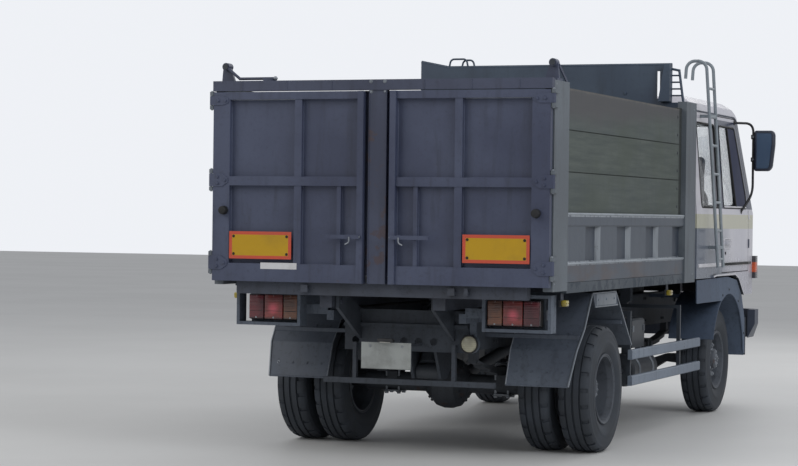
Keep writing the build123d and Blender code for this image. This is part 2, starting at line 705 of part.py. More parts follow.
lamp_frame_in = body_half - 502.0
lamp_frame_out = body_half - 66.0
lamp_frame_top = sill_under - 12.0
lamp_frame_foot = lamp_frame_top - 228.0
lamp_frame_skin = 20.0
plate_back = frame_end - 14.0
with BuildPart() as lamp_frames:
    for side in both:
        frame_x = (side * lamp_frame_in, side * lamp_frame_out)
        block(frame_x, (200, 300), (lamp_frame_foot, lamp_frame_top))
        hollow_x = (side * (lamp_frame_in + lamp_frame_skin), side * (lamp_frame_out - lamp_frame_skin))
        hollow_z = (lamp_frame_foot + lamp_frame_skin, lamp_frame_top - lamp_frame_skin)
        block(hollow_x, (190, 292), hollow_z, Mode.SUBTRACT)
        slit_x = (side * (lamp_frame_out - 62), side * (lamp_frame_out - lamp_frame_skin))
        block(slit_x, (285, 305), hollow_z, Mode.SUBTRACT)
        block((side * (rail_out + 40), side * (lamp_frame_out - 60)), (300, 345), (lamp_frame_foot + 75, lamp_frame_foot + 135))
        block((side * rail_out, side * (rail_out + 46)), (300, frame_end + 150), (lamp_frame_foot + 40, lamp_frame_foot + 100))
    block((rail_out + 10, rail_out + 46), (470, 500), (rail_bottom + 20, lamp_frame_foot + 50))
    bar_y(60, rail_out + 18, (440, 472), rail_bottom + 48)
save("lamp_frames", lamp_frames.part)

lens_gap = 2.0
RearLamp = namedtuple("RearLamp", "x_in x_out")
lamp_row = (lamp_frame_in + 26, lamp_frame_out - 76)
lamp_cells = [
    RearLamp(lamp_row[0], lamp_row[0] + 98),
    RearLamp(lamp_row[0] + 98 + lens_gap, lamp_row[1] - 104 - lens_gap),
    RearLamp(lamp_row[1] - 104, lamp_row[1]),
]
with BuildPart() as rear_lamps:
    for side in both:
        block((side * lamp_row[0], side * lamp_row[1]), (250, 292), (lamp_frame_foot + 34, lamp_frame_top - 32))
        for cell in lamp_cells:
            lens = [
                (side * cell.x_in, 250),
                (side * (cell.x_in + 8), 214),
                (side * (cell.x_out - 8), 214),
                (side * cell.x_out, 250),
            ]
            plan_plate(lens, (lamp_frame_foot + 34, lamp_frame_top - 32))
save("rear_lamps", rear_lamps.part)

plate_half = 165.0
with BuildPart() as rear_plate:
    block((-plate_half, plate_half), (150, 154), (556, 721))
    for bar_at in (-110, 90):
        block((bar_at, bar_at + 20), (154, plate_back), (rail_bottom + 30, rail_bottom + 46))
    block((-540, 600), (438, 470), (442, 476))
    for side in both:
        block((side * 318, side * 342), (440, 470), (476, rail_bottom + 40))
        block((side * 318, side * 342), (440, plate_back), (rail_bottom + 16, rail_bottom + 28))
save("rear_plate", rear_plate.part)

# The load body: floor and sills, the grid of runners and bearers below, posts, sides, headboard.
hoist_top_y = hoist_foot_y + 260.0
hoist_top_z = rail_top + 90.0
hook_gap = 45.0
with BuildPart() as bed_floor:
    block((-post_in, post_in), (post_start, wall_y), (floor_under, floor_top))
    for side in both:
        sill = [
            (side * sill_in, floor_under),
            (side * sill_in, sill_under),
            (side * wall_out, sill_under),
            (side * wall_out, floor_under - 2),
            (side * post_in, floor_under),
        ]
        cross_plate(sill, (post_end, front_post_start))
save("bed_floor", bed_floor.part)

bearer_count = 7
bearer_start = 420.0
bearer_width = 60.0
bearer_pitch = (wall_y - 140 - bearer_start) / (bearer_count - 1) - 10
with BuildPart() as bed_frame:
    for side in both:
        block((side * runner_in, side * runner_out), (70, wall_y), (runner_under, floor_under))
        pin_x = (side * (runner_in - gap - arm_skin - 8), side * runner_in)
        bar_x(pivot_pin_radius, pin_x, pivot_y, pivot_z)
        cheek = [
            (hoist_top_y - 70, floor_under),
            (hoist_top_y + 70, floor_under),
            (hoist_top_y + 45, hoist_top_z - 60),
            (hoist_top_y - 45, hoist_top_z - 60),
        ]
        side_plate(cheek, (side * 60, side * 90))
    block((-runner_in, runner_in), (hoist_top_y - 60, hoist_top_y + 60), (floor_under - 24, floor_under))
    for bearer in range(bearer_count):
        start = bearer_start + bearer * bearer_pitch
        if abs(start + bearer_width / 2 - hoist_top_y) > 200:
            block((-sill_in, sill_in), (start, start + bearer_width), (sill_under, floor_under))
    block((-sill_in + 75, sill_in - 75), (8, 72), (floor_under - 103, floor_under))
    for hook_x in (-500, 455, 560):
        hook = [
            (8, floor_under - 85),
            (-22, floor_under - 85),
            (-22, floor_under - 40),
            (-10, floor_under - 40),
            (-10, floor_under - 62),
            (8, floor_under - 62),
        ]
        side_plate(hook, (hook_x, hook_x + (24 if hook_x == 560 else hook_gap)))
save("bed_frame", bed_frame.part)

Strap = namedtuple("Strap", "foot top")
straps = [
    Strap(gate_foot + 70, gate_foot + 154),
    Strap(gate_rail - 7, gate_rail + 73),
    Strap(gate_head - 79, gate_head - 23),
]
hinge_pin_radius = 7.0
knuckle_gap = 2.0
lug_height = 24.0
with BuildPart() as bed_posts:
    for side in both:
        block((side * post_in, side * body_half), (post_start, post_end), (post_foot, header_top - 10))
        for strap in straps:
            for foot in (strap.foot - knuckle_gap - lug_height, strap.top + knuckle_gap):
                lug = (foot, foot + lug_height)
                bar_z(hinge_radius, side * hinge_x, hinge_y, lug)
                block((side * body_half, side * (hinge_x + 8)), (hinge_y, post_start + 45), lug)
            pin_run = (strap.foot - knuckle_gap - lug_height, strap.top + knuckle_gap + lug_height)
            bar_z(hinge_pin_radius, side * hinge_x, hinge_y, pin_run)
        block((side * post_in, side * (body_half + 5)), (front_post_start, bed_front), (sill_under, front_post_top))
save("bed_posts", bed_posts.part)

ear_z = header_top + 96.0
with BuildPart() as rear_header:
    block((-body_half, body_half), (post_start - 50, post_start), (gate_head + gap, header_top))
    block((-centre_post_half, centre_post_half), (-28, 8), (gate_foot, gate_head + gap))
    for side in both:
        ear = [
            (side * (body_half - 88), header_top),
            (side * body_half, header_top),
            (side * (body_half - 8), ear_z - 4),
            (side * (body_half - 34), ear_z + 14),
            (side * (body_half - 62), ear_z - 16),
        ]
        cross_plate(ear, (90, 112))
        bar_y(24, side * (body_half - 34), (70, 130), ear_z)
        block((side * (body_half - 90), side * body_half), (60, 160), (header_top - 10, header_top + 4))
        brace = [
            (112, ear_z - 6),
            (112, ear_z - 26),
            (250, header_top - 10),
            (280, header_top - 10),
        ]
        side_plate(brace, (side * (body_half - 10), side * (body_half - 2)))
    rod_z = header_top + 20.0
    tube([(-body_half + 34, 76, ear_z), (-body_half + 130, 76, rod_z), (-body_half + 370, 76, rod_z)], 9)
    block((-body_half + 340, -body_half + 364), (post_start - 50, 88), (header_top, rod_z))
save("rear_header", rear_header.part)

rib_count = 4
rib_field = (post_end, front_post_start)
rib_pitch = (rib_field[1] - rib_field[0]) / rib_count
with BuildPart() as side_panels:
    for side in both:
        section = [
            (side * wall_in, floor_under),
            (side * (wall_out - 2), floor_under),
            (side * (wall_out - 2), lower_rail_top - 8),
            (side * (wall_in + 12), lower_rail_top),
            (side * (wall_in + 12), side_rail_under),
            (side * (wall_out - 8), side_rail_under),
            (side * wall_out, side_rail_under + 8),
            (side * wall_out, side_rail_top),
            (side * wall_in, side_rail_top),
        ]
        cross_plate(section, rib_field)
        for rib in range(rib_count):
            start = rib_field[0] + rib * rib_pitch
            trapezoid = [
                (side * (wall_in + 10), start + 6),
                (side * (wall_out - 8), start + 26),
                (side * (wall_out - 8), start + rib_pitch * 0.58),
                (side * (wall_in + 10), start + rib_pitch * 0.70),
            ]
            plan_plate(trapezoid, (lower_rail_top - 8, side_rail_under))
save("side_panels", side_panels.part)

board_count = 3
board_seam = 4.0
board_pitch = (board_top + board_seam - side_rail_top) / board_count
batten_y = front_post_start - 110.0
with BuildPart() as side_boards:
    for side in both:
        for board in range(board_count):
            foot = side_rail_top + board * board_pitch
            block((side * wall_in, side * (wall_in + board_skin)), (post_end, batten_y), (foot, foot + board_pitch - board_seam))
        block((side * wall_in, side * (wall_in + 24)), (batten_y, front_post_start), (side_rail_top, board_top + 10))
        for board in range(1, board_count):
            seam_z = side_rail_top + board * board_pitch - board_seam
            block((side * wall_in, side * (wall_in + board_skin - 10)), (post_end, batten_y), (seam_z - 1, seam_z + board_seam + 1))
save("side_boards", side_boards.part)

with BuildPart() as headboard:
    wall_outline = [
        (-post_in, floor_under),
        (post_in, floor_under),
        (post_in, front_post_top),
        (guard_half, front_post_top),
        (guard_half, guard_top),
        (-guard_half + 220, guard_top),
        (-guard_half, guard_top + 44),
        (-guard_half, front_post_top),
        (-post_in, front_post_top),
    ]
    cross_plate(wall_outline, (wall_y, wall_y + wall_skin))
    slot_x = (guard_half - 110, guard_half - 86)
    block(slot_x, (wall_y - 5, wall_y + wall_skin + 5), (front_post_top + 30, guard_top - 45), Mode.SUBTRACT)
    gusset = [
        (guard_half - 84, front_post_top + 6),
        (guard_half, front_post_top + 6),
        (guard_half, guard_top),
        (guard_half - 40, guard_top),
    ]
    cross_plate(gusset, (wall_y - 60, wall_y))
    for stay_x in (-620, 0, 620):
        stay = [
            (wall_y + wall_skin, floor_top + 175),
            (wall_y + wall_skin, guard_top - 60),
            (wall_y + wall_skin + 60, guard_top - 402),
            (wall_y + wall_skin + 60, floor_top + 175),
        ]
        side_plate(stay, (stay_x - 25, stay_x + 25))
    middle_y = wall_y + wall_skin / 2
    ladder = [
        (body_half - 52, middle_y, front_post_top + 1.5),
        (body_half - 84, middle_y, guard_top - 42),
        (guard_half - 5, middle_y, guard_top - 30),
    ]
    tube(ladder, 9)
    for rung in range(4):
        rung_z = front_post_top + 50 + rung * 48
        bar_x(6, (guard_half - 5, body_half - 60 - rung * 7), middle_y, rung_z)
    hoop_foot = guard_top - 5.0
    Hoop = namedtuple("Hoop", "x_in x_out y rise")
    for hoop in (Hoop(-guard_half + 221, -guard_half + 372, wall_y + 5, 67), Hoop(-guard_half + 316, -guard_half + 419, wall_y + 20, 59)):
        bow = [
            (hoop.x_in, hoop.y, hoop_foot),
            (hoop.x_in + 14, hoop.y, hoop_foot + hoop.rise),
            (hoop.x_out - 14, hoop.y, hoop_foot + hoop.rise),
            (hoop.x_out, hoop.y, hoop_foot),
        ]
        tube(bow, 7, 32)
save("headboard", headboard.part)

with BuildPart() as marker_lamps:
    for side in both:
        for lamp_y, lamp_hang in ((pivot_y + 125, sill_under), (front_post_start - 362, sill_under)):
            block((side * (body_half - 50), side * (body_half - 2)), (lamp_y, lamp_y + 75), (sill_under - 82, sill_under - 40))
            block((side * (body_half - 40), side * (body_half - 20)), (lamp_y + 22, lamp_y + 52), (sill_under - 40, lamp_hang))
save("marker_lamps", marker_lamps.part)

# The gate: two leaves of sheet on a pressed frame, each on three straps and a hinge pin.
LeafMember = namedtuple("LeafMember", "x_in x_out foot top proud")
leaf_members = [
    LeafMember(leaf_outer - 113, leaf_outer, gate_foot, gate_head, leaf_frame),
    LeafMember(leaf_inner, leaf_inner + 39, gate_foot, gate_head, leaf_frame + 14),
    LeafMember(leaf_inner, leaf_outer, gate_head - 46, gate_head, leaf_frame),
    LeafMember(leaf_inner, leaf_outer, gate_rail, gate_rail + 55, leaf_frame),
    LeafMember(leaf_inner, leaf_outer, gate_foot, gate_foot + 110, leaf_frame),
    LeafMember(leaf_inner + 412, leaf_inner + 460, gate_foot, gate_head, leaf_frame - 4),
    LeafMember(leaf_inner + 151, leaf_inner + 177, gate_foot + 110, gate_rail, leaf_frame - 8),
]
leaf_back = leaf_front - leaf_sheet
handle_z = gate_foot + 282.0
buffer_z = gate_rail - 154.0
for side in both:
    with BuildPart() as gate_leaf:
        block((side * leaf_inner, side * leaf_outer), (leaf_back, leaf_front), (gate_foot, gate_head))
        for member in leaf_members:
            block((side * member.x_in, side * member.x_out), (leaf_back - member.proud, leaf_back), (member.foot, member.top))
        for strap in straps:
            middle = (strap.foot + strap.top) / 2
            strap_face = [
                (side * hinge_x, strap.foot),
                (side * hinge_x, strap.top),
                (side * (hinge_x - 78), strap.top),
                (side * (hinge_x - 118), middle + 14),
                (side * (hinge_x - 118), middle - 14),
                (side * (hinge_x - 78), strap.foot),
            ]
            cross_plate(strap_face, (hinge_y - hinge_radius, hinge_y - hinge_radius + 8))
            bar_z(hinge_radius, side * hinge_x, hinge_y, (strap.foot, strap.top))
            block((side * (leaf_outer - 20), side * hinge_x), (hinge_y - 6, hinge_y + 6), (strap.foot, strap.top))
            bore = (strap.foot - 5, strap.top + 5)
            bar_z(hinge_pin_radius + running_gap, side * hinge_x, hinge_y, bore, Mode.SUBTRACT)
        rail_back = leaf_back - leaf_frame - 25
        bar_end = leaf_inner + 263
        block((side * (leaf_inner + 15), side * bar_end), (rail_back - 10, rail_back), (handle_z - 12, handle_z + 12))
        for foot_x in (leaf_inner + 25, leaf_inner + 155):
            block((side * foot_x, side * (foot_x + 22)), (rail_back, leaf_back), (handle_z - 10, handle_z + 10))
        bar_y(15, side * (leaf_inner + 75), (rail_back - 9, rail_back + 6), handle_z)
    save("gate_leaf_" + names[side], gate_leaf.part)
    with BuildPart() as gate_plates:
        plate_y = leaf_back - leaf_frame - 2
        block((side * (leaf_inner + 471), side * (leaf_outer - 119)), (plate_y - 4, plate_y), (gate_foot + 138, gate_foot + 306))
        for pad_x in (leaf_inner + 505, leaf_outer - 173):
            block((side * pad_x, side * (pad_x + 20)), (plate_y, leaf_back), (gate_foot + 210, gate_foot + 230))
        bar_y(28, side * (leaf_outer - 80), (-rear_reach, leaf_back - leaf_frame), buffer_z)
    save("gate_plates_" + names[side], gate_plates.part)

# The hoist: barrel on the frame's pin, sleeve and rod reaching to the load body.
hoist_run = Vector(0, hoist_top_y - hoist_foot_y, hoist_top_z - hoist_foot_z)
hoist_length = hoist_run.length
hoist_plane = Plane(origin=(0, gate_y + hoist_foot_y, hoist_foot_z), x_dir=(1, 0, 0), z_dir=hoist_run)
barrel_radius = 74.0
sleeve_radius = 56.0
rod_radius = 38.0
barrel_start = 46.0
barrel_end = 452.0
sleeve_end = 482.0
rod_end = hoist_length - 26.0
with BuildPart() as hoist_barrel:
    with BuildSketch(hoist_plane.offset(barrel_start)):
        Circle(barrel_radius)
    extrude(amount=barrel_end - barrel_start)
    with BuildSketch(hoist_plane.offset(barrel_end - 36)):
        Circle(barrel_radius + 8)
    extrude(amount=36)
    with BuildSketch(hoist_plane.offset(barrel_start + 24)):
        Circle(sleeve_radius + running_gap)
    extrude(amount=barrel_end - barrel_start, mode=Mode.SUBTRACT)
    bar_x(48, (-hoist_cheek + gap, hoist_cheek - gap), hoist_foot_y, hoist_foot_z)
    bar_x(hoist_pin_radius + running_gap, (-hoist_cheek, hoist_cheek), hoist_foot_y, hoist_foot_z, Mode.SUBTRACT)
save("hoist_barrel", hoist_barrel.part)

with BuildPart() as hoist_sleeve:
    with BuildSketch(hoist_plane.offset(barrel_start + 30)):
        Circle(sleeve_radius)
    extrude(amount=sleeve_end - barrel_start - 30)
    with BuildSketch(hoist_plane.offset(barrel_start + 46)):
        Circle(rod_radius + running_gap)
    extrude(amount=sleeve_end - barrel_start, mode=Mode.SUBTRACT)
save("hoist_sleeve", hoist_sleeve.part)

with BuildPart() as hoist_rod:
    with BuildSketch(hoist_plane.offset(barrel_start + 52)):
        Circle(rod_radius)
    extrude(amount=rod_end - barrel_start - 52)
    bar_x(36, (-44, 44), hoist_top_y, hoist_top_z)
save("hoist_rod", hoist_rod.part)

# The cab: a shell between an outer and an inner volume, with its openings cut.
screen_foot_y = cab_front - 130.0
screen_head_y = cab_front - 500.0
arch_front = front_axle_y + 453.0
arch_rear = front_axle_y - 562.0
cab_low = cab_under - 8.0
side_outline = [
    (cab_rear, cab_low),
    (cab_rear, cab_top - 110),
    (cab_rear + 70, cab_top - 40),
    (cab_rear + 650, cab_top),
    (cab_front - 660, cab_top - 35),
    (screen_head_y, cab_top - 110),
    (screen_foot_y, belt_z + 30),
    (cab_front - 20, belt_z - 90),
    (cab_front, cab_under + 88),
    (cab_front - 20, cab_under - 162),
    (arch_front, cab_under - 162),
    (arch_front - 182, cab_under - 30),
    (arch_front - 300, cab_under),
    (arch_rear + 100, cab_under),
    (arch_rear, cab_low),
]
cavity_outline = [
    (cab_rear + cab_skin, cab_floor),
    (cab_rear + cab_skin, cab_top - 140),
    (cab_rear + cab_skin + 55, cab_top - 85),
    (cab_rear + 650, cab_top - 45),
    (cab_front - 680, cab_top - 78),
    (screen_head_y - 40, cab_top - 135),
    (screen_foot_y - 50, belt_z + 15),
    (cab_front - 70, belt_z - 105),
    (cab_front - cab_skin - 5, cab_under + 88),
    (cab_front - cab_skin - 10, cab_floor),
]
corner = 140.0
lean = 62.0


def cab_block(outline, inset, shrink):
    """Cab volume: side outline crossed with the rounded plan and the leaning front view."""
    half = cab_half - inset
    low = cab_under - 262.0
    with BuildPart() as volume:
        with BuildSketch(side_plane.offset(-half)):
            with BuildLine():
                Polyline(*outline, close=True)
            make_face()
        extrude(amount=2 * half)
        with BuildSketch(plan_plane.offset(low)):
            with BuildLine():
                FilletPolyline(
                    (-half, cab_rear + inset),
                    (-half, cab_front - inset),
                    (half, cab_front - inset),
                    (half, cab_rear + inset),
                    radius=corner - inset,
                )
                Line((half, cab_rear + inset), (-half, cab_rear + inset))
            make_face()
        extrude(amount=cab_top + 100 - low, mode=Mode.INTERSECT)
        with BuildSketch(cross_plane.offset(-cab_front - 50)):
            with BuildLine():
                Polyline(
                    (-half, low),
                    (-half, belt_z),
                    (-half + lean, cab_top - 140 - shrink),
                    (-half + lean + 22, cab_top - 78 - shrink),
                    (-half + lean + 80, cab_top - 32 - shrink),
                    (0, cab_top + 12 - shrink),
                    (half - lean - 80, cab_top - 32 - shrink),
                    (half - lean - 22, cab_top - 78 - shrink),
                    (half - lean, cab_top - 140 - shrink),
                    (half, belt_z),
                    (half, low),
                    close=True,
                )
            make_face()
        extrude(amount=cab_front - cab_rear + 100, mode=Mode.INTERSECT)
    return volume.part


cab_outer = cab_block(side_outline, 0, 0)
cab_inner = cab_block(cavity_outline, cab_skin, 40)
door_head_y = door_front - 270.0
lean_start_z = belt_z + 170.0
door_prism_outline = [
    (door_rear, door_foot),
    (door_rear, door_head),
    (door_head_y, door_head),
    (door_front, lean_start_z),
    (door_front, door_foot),
]
door_hole_outline = [
    (door_rear - gap, door_foot - gap),
    (door_rear - gap, door_head + gap),
    (door_head_y + 4, door_head + gap),
    (door_front + gap, lean_start_z + 3),
    (door_front + gap, door_foot - gap),
]
door_pane_outline = [
    (door_rear + 60, pane_foot),
    (door_rear + 60, pane_head),
    (door_head_y - 50, pane_head),
    (door_front - 68, belt_z + 160),
    (door_front - 68, pane_foot),
]
quarter_pane_outline = [
    (cab_rear + 170, pane_foot),
    (cab_rear + 150, pane_foot + 25),
    (cab_rear + 150, pane_head - 25),
    (cab_rear + 170, pane_head),
    (door_rear - 100, pane_head),
    (door_rear - 80, pane_head - 25),
    (door_rear - 80, pane_foot + 25),
    (door_rear - 100, pane_foot),
]
rear_pane_half = 480.0
rear_pane_z = (belt_z + 110, cab_top - 260)
screen_half = cab_half - 145.0
screen_z = (belt_z + 70, cab_top - 170)
screen_run = (screen_foot_y - screen_head_y) / (cab_top - 140 - belt_z)
screen_foot = screen_foot_y - screen_run * (screen_z[0] - belt_z - 30)
screen_head = screen_foot_y - screen_run * (screen_z[1] - belt_z - 30)
hump_half = 420.0
hump_top = engine_top + 90.0
hump_front = cab_front - 560.0

with BuildPart() as cab_shell:
    add(cab_outer)
    add(cab_inner, mode=Mode.SUBTRACT)
    block((-cab_half + 30, cab_half - 30), (cab_rear + 30, arch_front + 45), (cab_under - 210, cab_under), Mode.SUBTRACT)
    block((-cab_half + 110, cab_half - 110), (arch_front + 5, cab_front - 60), (cab_under - 210, cab_under), Mode.SUBTRACT)
    side_plate(quarter_pane_outline, (-cab_half - 20, cab_half + 20), Mode.SUBTRACT)
    side_plate(door_hole_outline, (-cab_half - 20, -cab_half + 136), Mode.SUBTRACT)
    side_plate(door_hole_outline, (cab_half - 136, cab_half + 20), Mode.SUBTRACT)
    screen_cut = [
        (cab_front + 80, screen_z[0]),
        (screen_foot - 90, screen_z[0]),
        (screen_head - 90, screen_z[1]),
        (cab_front + 80, screen_z[1]),
    ]
    side_plate(screen_cut, (-screen_half, screen_half), Mode.SUBTRACT)
    block((-rear_pane_half, rear_pane_half), (cab_rear - 20, cab_rear + 80), rear_pane_z, Mode.SUBTRACT)
    block((-hump_half, hump_half), (cab_rear + 10, hump_front), (cab_under, hump_top))
    block((-hump_half + 40, hump_half - 40), (cab_rear - 10, hump_front - 40), (cab_under - 90, hump_top - 40), Mode.SUBTRACT)
    for side in both:
        arch_lip = [
            (arch_rear, cab_low + 18),
            (arch_rear + 100, cab_under + 18),
            (arch_front - 296, cab_under + 18),
            (arch_front - 172, cab_under - 14),
            (arch_front + 12, cab_under - 150),
            (arch_front, cab_under - 162),
            (arch_front - 182, cab_under - 30),
            (arch_front - 300, cab_under),
            (arch_rear + 100, cab_under),
            (arch_rear, cab_low),
        ]
        side_plate(arch_lip, (side * (cab_half - 10), side * (cab_half + 14)))
        lug = (side * (rail_out + 16), side * (rail_out + 46))
        block(lug, (cab_pivot_y - 34, cab_pivot_y + 34), (cab_pivot_z, cab_floor - 10))
        bar_x(34, lug, cab_pivot_y, cab_pivot_z)
        bore_x = (side * rail_out, side * (rail_out + 80))
        bar_x(cab_pin_radius + running_gap, bore_x, cab_pivot_y, cab_pivot_z, Mode.SUBTRACT)
save("cab_shell", cab_shell.part)

pane_skin = 8.0
with BuildPart() as side_glass_band:
    add(cab_block(side_outline, 18, 16))
    add(cab_block(side_outline, 18 + pane_skin, 16), mode=Mode.SUBTRACT)
with BuildPart() as cab_glass:
    for side in both:
        side_plate(quarter_pane_outline, (side * (cab_half - 90), side * (cab_half + 10)))
    add(side_glass_band.part, mode=Mode.INTERSECT)
    screen = [
        (screen_foot - 4, screen_z[0]),
        (screen_foot - 12, screen_z[0]),
        (screen_head - 12, screen_z[1]),
        (screen_head - 4, screen_z[1]),
    ]
    side_plate(screen, (-screen_half, screen_half))
    block((-rear_pane_half, rear_pane_half), (cab_rear + 18, cab_rear + 26), rear_pane_z)
save("cab_glass", cab_glass.part)

grille_z = (cab_under - 102, cab_under + 268)
bar_count = 5
with BuildPart() as cab_grille:
    block((-720, 720), (cab_front - 40, cab_front + 6), grille_z)
    for bar in range(bar_count):
        foot = grille_z[0] + 25 + bar * 68
        vane = [
            (cab_front + 6, foot),
            (cab_front + 24, foot + 8),
            (cab_front + 24, foot + 27),
            (cab_front + 6, foot + 35),
        ]
        side_plate(vane, (-700, 700))
    add(cab_outer, mode=Mode.SUBTRACT)
save("cab_grille", cab_grille.part)

with BuildPart() as turn_lamps:
    for side in both:
        lens = [
            (side * (cab_half - 20), cab_front - 136),
            (side * (cab_half + 22), cab_front - 136),
            (side * (cab_half + 28), cab_front - 126),
            (side * (cab_half + 28), cab_front - 62),
            (side * (cab_half + 20), cab_front - 50),
            (side * (cab_half - 20), cab_front - 50),
        ]
        plan_plate(lens, (cab_under - 38, cab_under + 142))
    add(cab_outer, mode=Mode.SUBTRACT)
save("turn_lamps", turn_lamps.part)

seat_x = (hump_half + 50, cab_half - 110)
seat_y = front_axle_y - 262.0
with BuildPart() as seats:
    for side in both:
        across = (side * seat_x[0], side * seat_x[1])
        cushion = [
            (seat_y, cab_floor),
            (seat_y + 430, cab_floor),
            (seat_y + 470, cab_floor + 240),
            (seat_y + 455, cab_floor + 330),
            (seat_y, cab_floor + 310),
        ]
        side_plate(cushion, across)
        back_rest = [
            (seat_y, cab_floor + 310),
            (seat_y, cab_floor + 340),
            (seat_y - 20, cab_floor + 900),
            (seat_y - 110, cab_floor + 920),
            (seat_y - 130, cab_floor + 300),
            (seat_y, cab_floor + 300),
        ]
        side_plate(back_rest, across)
save("seats", seats.part)

wheel_x = hump_half + 140.0
steering_y = cab_front - 570.0
steering_z = belt_z + 122.0
with BuildPart() as dashboard:
    board_outline = [
        (cab_front - 390, belt_z - 190),
        (cab_front - 460, belt_z - 30),
        (cab_front - 330, belt_z + 45),
        (cab_front - 220, belt_z + 15),
        (cab_front - 20, belt_z - 130),
        (cab_front - 20, belt_z - 280),
        (cab_front - 320, belt_z - 280),
    ]
    side_plate(board_outline, (-cab_half + 65, cab_half - 65))
    add(cab_inner, mode=Mode.INTERSECT)
    tube([(wheel_x, cab_front - 340, belt_z - 150), (wheel_x, steering_y + 10, steering_z - 12)], 28)
    with Locations(Location((wheel_x, gate_y + steering_y, steering_z), (-50, 0, 0))):
        Torus(210, 16)
        Cylinder(50, 40)
        Box(420, 30, 16)
save("dashboard", dashboard.part)

ladder_foot = cab_floor + 35.0
ladder_height = 1535.0
rung_count = 7
LadderRail = namedtuple("LadderRail", "foot_y head_y")
ladder_rails = [LadderRail(cab_rear + 335, cab_rear + 180), LadderRail(cab_rear + 500, cab_rear + 385)]
ladder_lean = (cab_half + 80.0, cab_half + 10.0)


def ladder_at(z):
    """Place of the ladder at a height: its x, and the y of each rail."""
    rise = (z - ladder_foot) / ladder_height
    x = ladder_lean[0] + (ladder_lean[1] - ladder_lean[0]) * rise
    return x, [rail.foot_y + (rail.head_y - rail.foot_y) * rise for rail in ladder_rails]


with BuildPart() as hook_ladder:
    head_z = ladder_foot + ladder_height
    for rail in ladder_rails:
        rail_line = [
            (ladder_lean[0], rail.foot_y, ladder_foot),
            (ladder_lean[1], rail.head_y, head_z),
            (ladder_lean[1] - 148, rail.head_y, head_z),
            (ladder_lean[1] - 156, rail.head_y, head_z - 130),
        ]
        tube(rail_line, 12, 66)
    for rung in range(rung_count):
        rung_z = ladder_foot + 62 + rung * 212
        rung_x, rung_y = ladder_at(rung_z)
        bar_y(10, rung_x, rung_y, rung_z)
    for stay_z, stay_in in ((ladder_foot + 150, cab_half - 30), (ladder_foot + 1130, cab_half - 90)):
        stay_x, stay_y = ladder_at(stay_z)
        block((stay_x - 12, stay_x + 8), (stay_y[0] + 2, stay_y[1] - 2), (stay_z - 12, stay_z + 12))
        block((stay_in, stay_x), (stay_y[0] + 60, stay_y[0] + 80), (stay_z - 12, stay_z + 12))
    add(cab_outer, mode=Mode.SUBTRACT)
save("hook_ladder", hook_ladder.part)

handle_z = belt_z - 216.0
for side in both:
    reach = (side * (cab_half - 130), side * (cab_half + 20))
    with BuildPart() as door:
        side_plate(door_prism_outline, reach)
        add(cab_outer, mode=Mode.INTERSECT)
        add(cab_inner, mode=Mode.SUBTRACT)
        side_plate(door_pane_outline, reach, Mode.SUBTRACT)
        grip = [
            (side * (cab_half - 4), door_rear + 80),
            (side * (cab_half + 20), door_rear + 92),
            (side * (cab_half + 26), door_rear + 112),
            (side * (cab_half + 26), door_rear + 230),
            (side * (cab_half + 20), door_rear + 248),
            (side * (cab_half - 4), door_rear + 260),
        ]
        plan_plate(grip, (handle_z - 12, handle_z + 12))
    save("door_" + names[side], door.part)
    with BuildPart() as door_glass:
        side_plate(door_pane_outline, reach)
        add(side_glass_band.part, mode=Mode.INTERSECT)
    save("door_glass_" + names[side], door_glass.part)
    with BuildPart() as mirror:
        arm_x = cab_half + 66
        arm = [
            (cab_half - 60, door_front - 290, door_head - 23),
            (arm_x, door_front - 150, door_head - 23),
            (arm_x, door_front - 150, belt_z + 170),
            (cab_half - 4, door_front - 250, belt_z + 30),
        ]
        tube([(side * x, y, z) for x, y, z in arm], 10, 70)
        housing = [
            (side * (arm_x + 13), door_head - 402),
            (side * (arm_x + 13), door_head - 79),
            (side * (arm_x + 156), door_head - 79),
            (side * (arm_x + 176), door_head - 105),
            (side * (arm_x + 176), door_head - 195),
            (side * (arm_x + 156), door_head - 375),
            (side * (arm_x + 130), door_head - 402),
        ]
        cross_plate(housing, (door_front - 180, door_front - 118))
        for clip_z in (door_head - 325, door_head - 145):
            clip_x = (side * (arm_x - 4), side * (arm_x + 15))
            block(clip_x, (door_front - 162, door_front - 138), (clip_z, clip_z + 30))
        add(door.part, mode=Mode.SUBTRACT)
    save("mirror_" + names[side], mirror.part)
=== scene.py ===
import bmesh
import bpy
import json
from math import atan2, cos, exp, hypot, pi, radians, sin
from mathutils import Matrix, Vector

